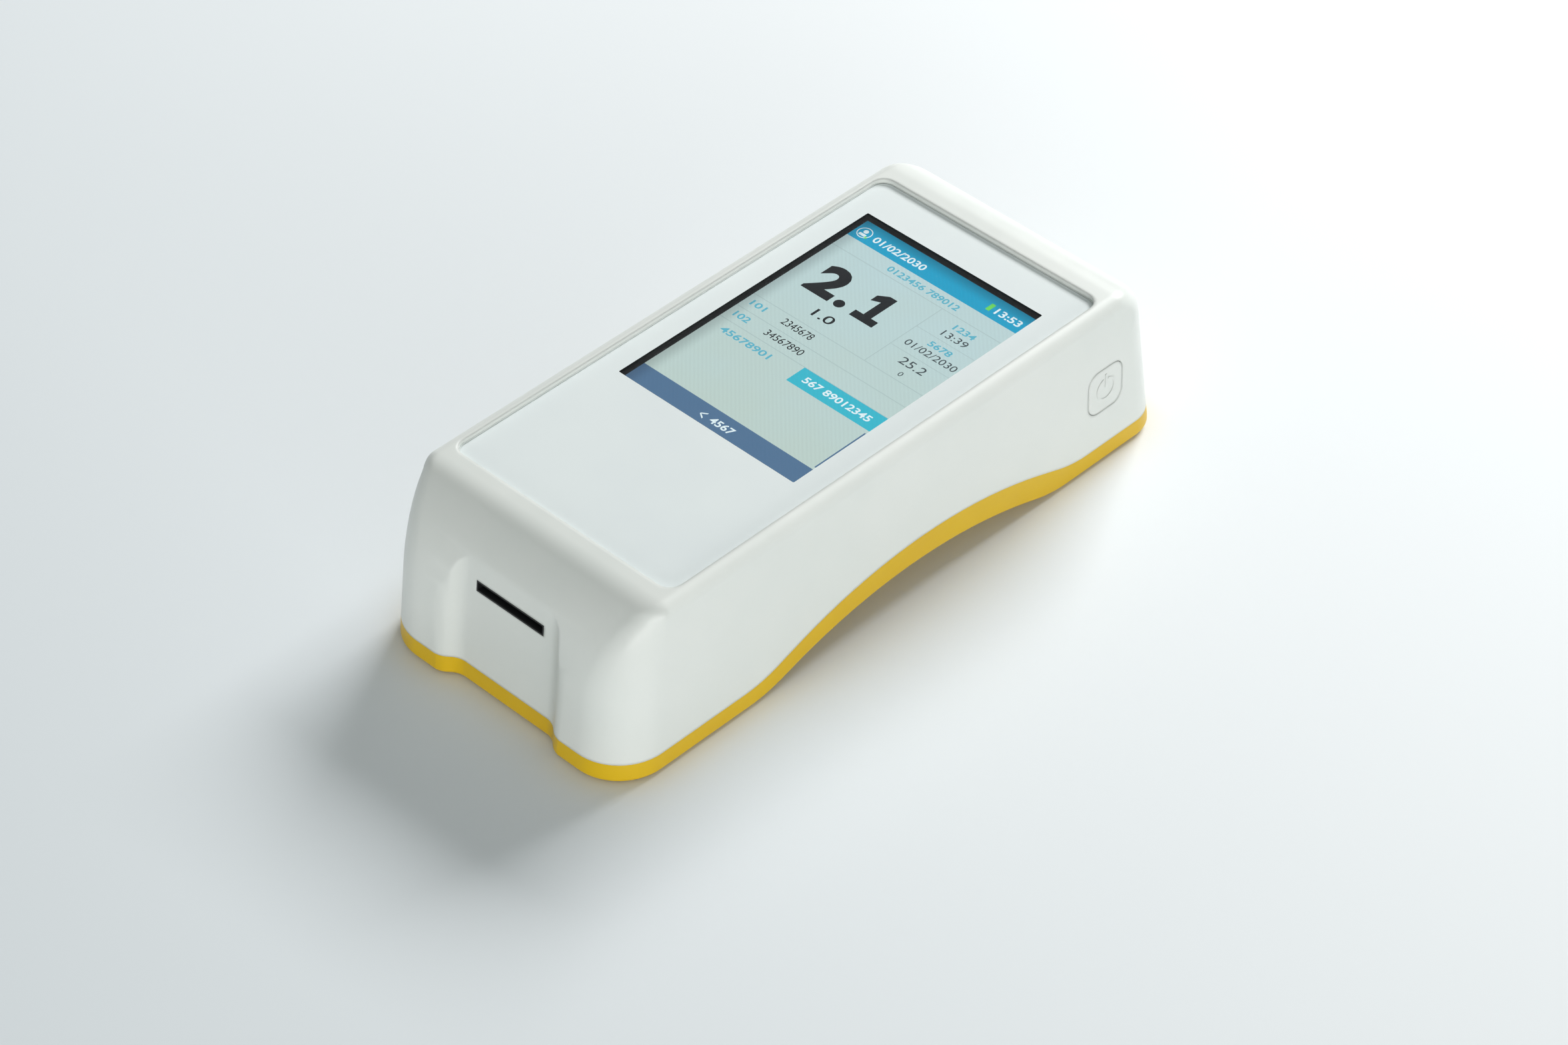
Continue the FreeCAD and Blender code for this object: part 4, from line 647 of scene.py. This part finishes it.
def floor_paint():
    """Pale table with painted light: its tone rises towards the far right corner, standing for the lamps'
    light falling off with distance, and it fades to white far off.
    """
    paint, tree, shader = blank_paint("pale_table")
    place = add(tree, "TexCoord").outputs["Object"]
    # Painted light: the table's colour is made brighter towards the far right, where the lamps behind it are
    # nearer.
    lamp_falloff_slope = add(tree, "VectorMath", {0: place, 1: (0.35, 1.0, 0.0)}, operation="DOT_PRODUCT")
    share = spread(tree, lamp_falloff_slope.outputs["Value"], -0.25, 0.2)
    tone = two_tones(tree, share, linear(227, 233, 237), linear(245, 248, 250))
    tree.links.new(tone, shader.inputs["Base Color"])
    shader.inputs["Roughness"].default_value = 0.6
    shader.inputs["Specular IOR Level"].default_value = 0.2
    distance = add(tree, "VectorMath", {0: place}, operation="LENGTH").outputs["Value"]
    seen = sums(tree, "MULTIPLY", seen_ray(tree), spread(tree, distance, 0.5, 2.2))
    pale = add(tree, "Emission", {"Color": PALE, "Strength": 1.0})
    blend_into(tree, "Material Output", seen, shader, pale)
    return paint


SPAN = 4.0
table_points = np.array([(-SPAN, -SPAN, 0), (SPAN, -SPAN, 0), (SPAN, SPAN, 0), (-SPAN, SPAN, 0)])
table_mesh = bpy.data.meshes.new("table")
table_mesh.from_pydata(table_points.tolist(), [], [(0, 1, 2, 3)])
table_mesh.materials.append(floor_paint())
table = bpy.data.objects.new("table", table_mesh)
bpy.context.scene.collection.objects.link(table)


# %% Lamps and room
def lamp(name, direction, distance, size, power, tone=(1, 1, 1)):
    """An oblong lamp, width by height, in a direction from the meter, turned to face it."""
    light = bpy.data.lights.new(name, "AREA")
    light.shape = "RECTANGLE"
    light.size, light.size_y = size
    light.energy, light.color = power, tone
    thing = bpy.data.objects.new(name, light)
    away = Vector(direction).normalized()
    thing.location = Vector((0, 0, 0.02)) + away * distance
    thing.rotation_euler = away.to_track_quat("Z", "Y").to_euler()
    bpy.context.scene.collection.objects.link(thing)


KEY_RISE = math.radians(35.5)
KEY_SIDE = (-0.16 * math.cos(KEY_RISE), 0.987 * math.cos(KEY_RISE), math.sin(KEY_RISE))
lamp("window_lamp", KEY_SIDE, 1.5, (0.9, 0.5), 23.0)
lamp("low_strip", (0.77, -0.64, 0.16), 1.6, (1.6, 0.4), 13.0, (1.0, 0.995, 0.98))

room = bpy.data.worlds.new("room")
bpy.context.scene.world = room
room.use_nodes = True
room_tree = room.node_tree
sky = room_tree.nodes["Background"]
sky.inputs["Color"].default_value = (0.94, 1.0, 0.965, 1.0)
sky.inputs["Strength"].default_value = 0.3
rise = add(room_tree, "SeparateXYZ", {0: add(room_tree, "TexCoord").outputs["Generated"]}).outputs["Z"]
low_glow = spread(room_tree, rise, 0.0, 0.5, 0.95, 0.18)
high_glow = spread(room_tree, rise, 0.68, 0.85, 0.0, 1.1)
seen_glow = sums(room_tree, "ADD", low_glow, high_glow)
seen_room = add(room_tree, "Background", {"Color": PALE, "Strength": seen_glow})
blend_into(room_tree, "World Output", seen_ray(room_tree), sky, seen_room)

# %% Camera
AZIMUTH, RISE = math.radians(44.267), math.radians(41.316)
FOCAL_PIXELS, PHOTO_PIXELS, FILM_WIDTH = 6985.7, 2353, 36.0
back = Vector((math.sin(AZIMUTH) * math.cos(RISE), -math.cos(AZIMUTH) * math.cos(RISE), math.sin(RISE)))
right = Vector((math.cos(AZIMUTH), math.sin(AZIMUTH), 0.0))
over = back.cross(right)
lens_data = bpy.data.cameras.new("camera")
lens_data.sensor_width, lens_data.lens = FILM_WIDTH, FOCAL_PIXELS / PHOTO_PIXELS * FILM_WIDTH
lens_data.clip_start, lens_data.clip_end = 0.05, 20.0
camera = bpy.data.objects.new("camera", lens_data)
place = back * 0.97556 + right * -0.010056 + over * -0.037553 + Vector((0, 0.01555, 0.0402))
turn = Matrix((right, over, back)).transposed().to_4x4()
camera.matrix_world = Matrix.Translation(place) @ turn
bpy.context.scene.collection.objects.link(camera)
bpy.context.scene.camera = camera
bpy.context.scene.view_settings.view_transform = "Standard"
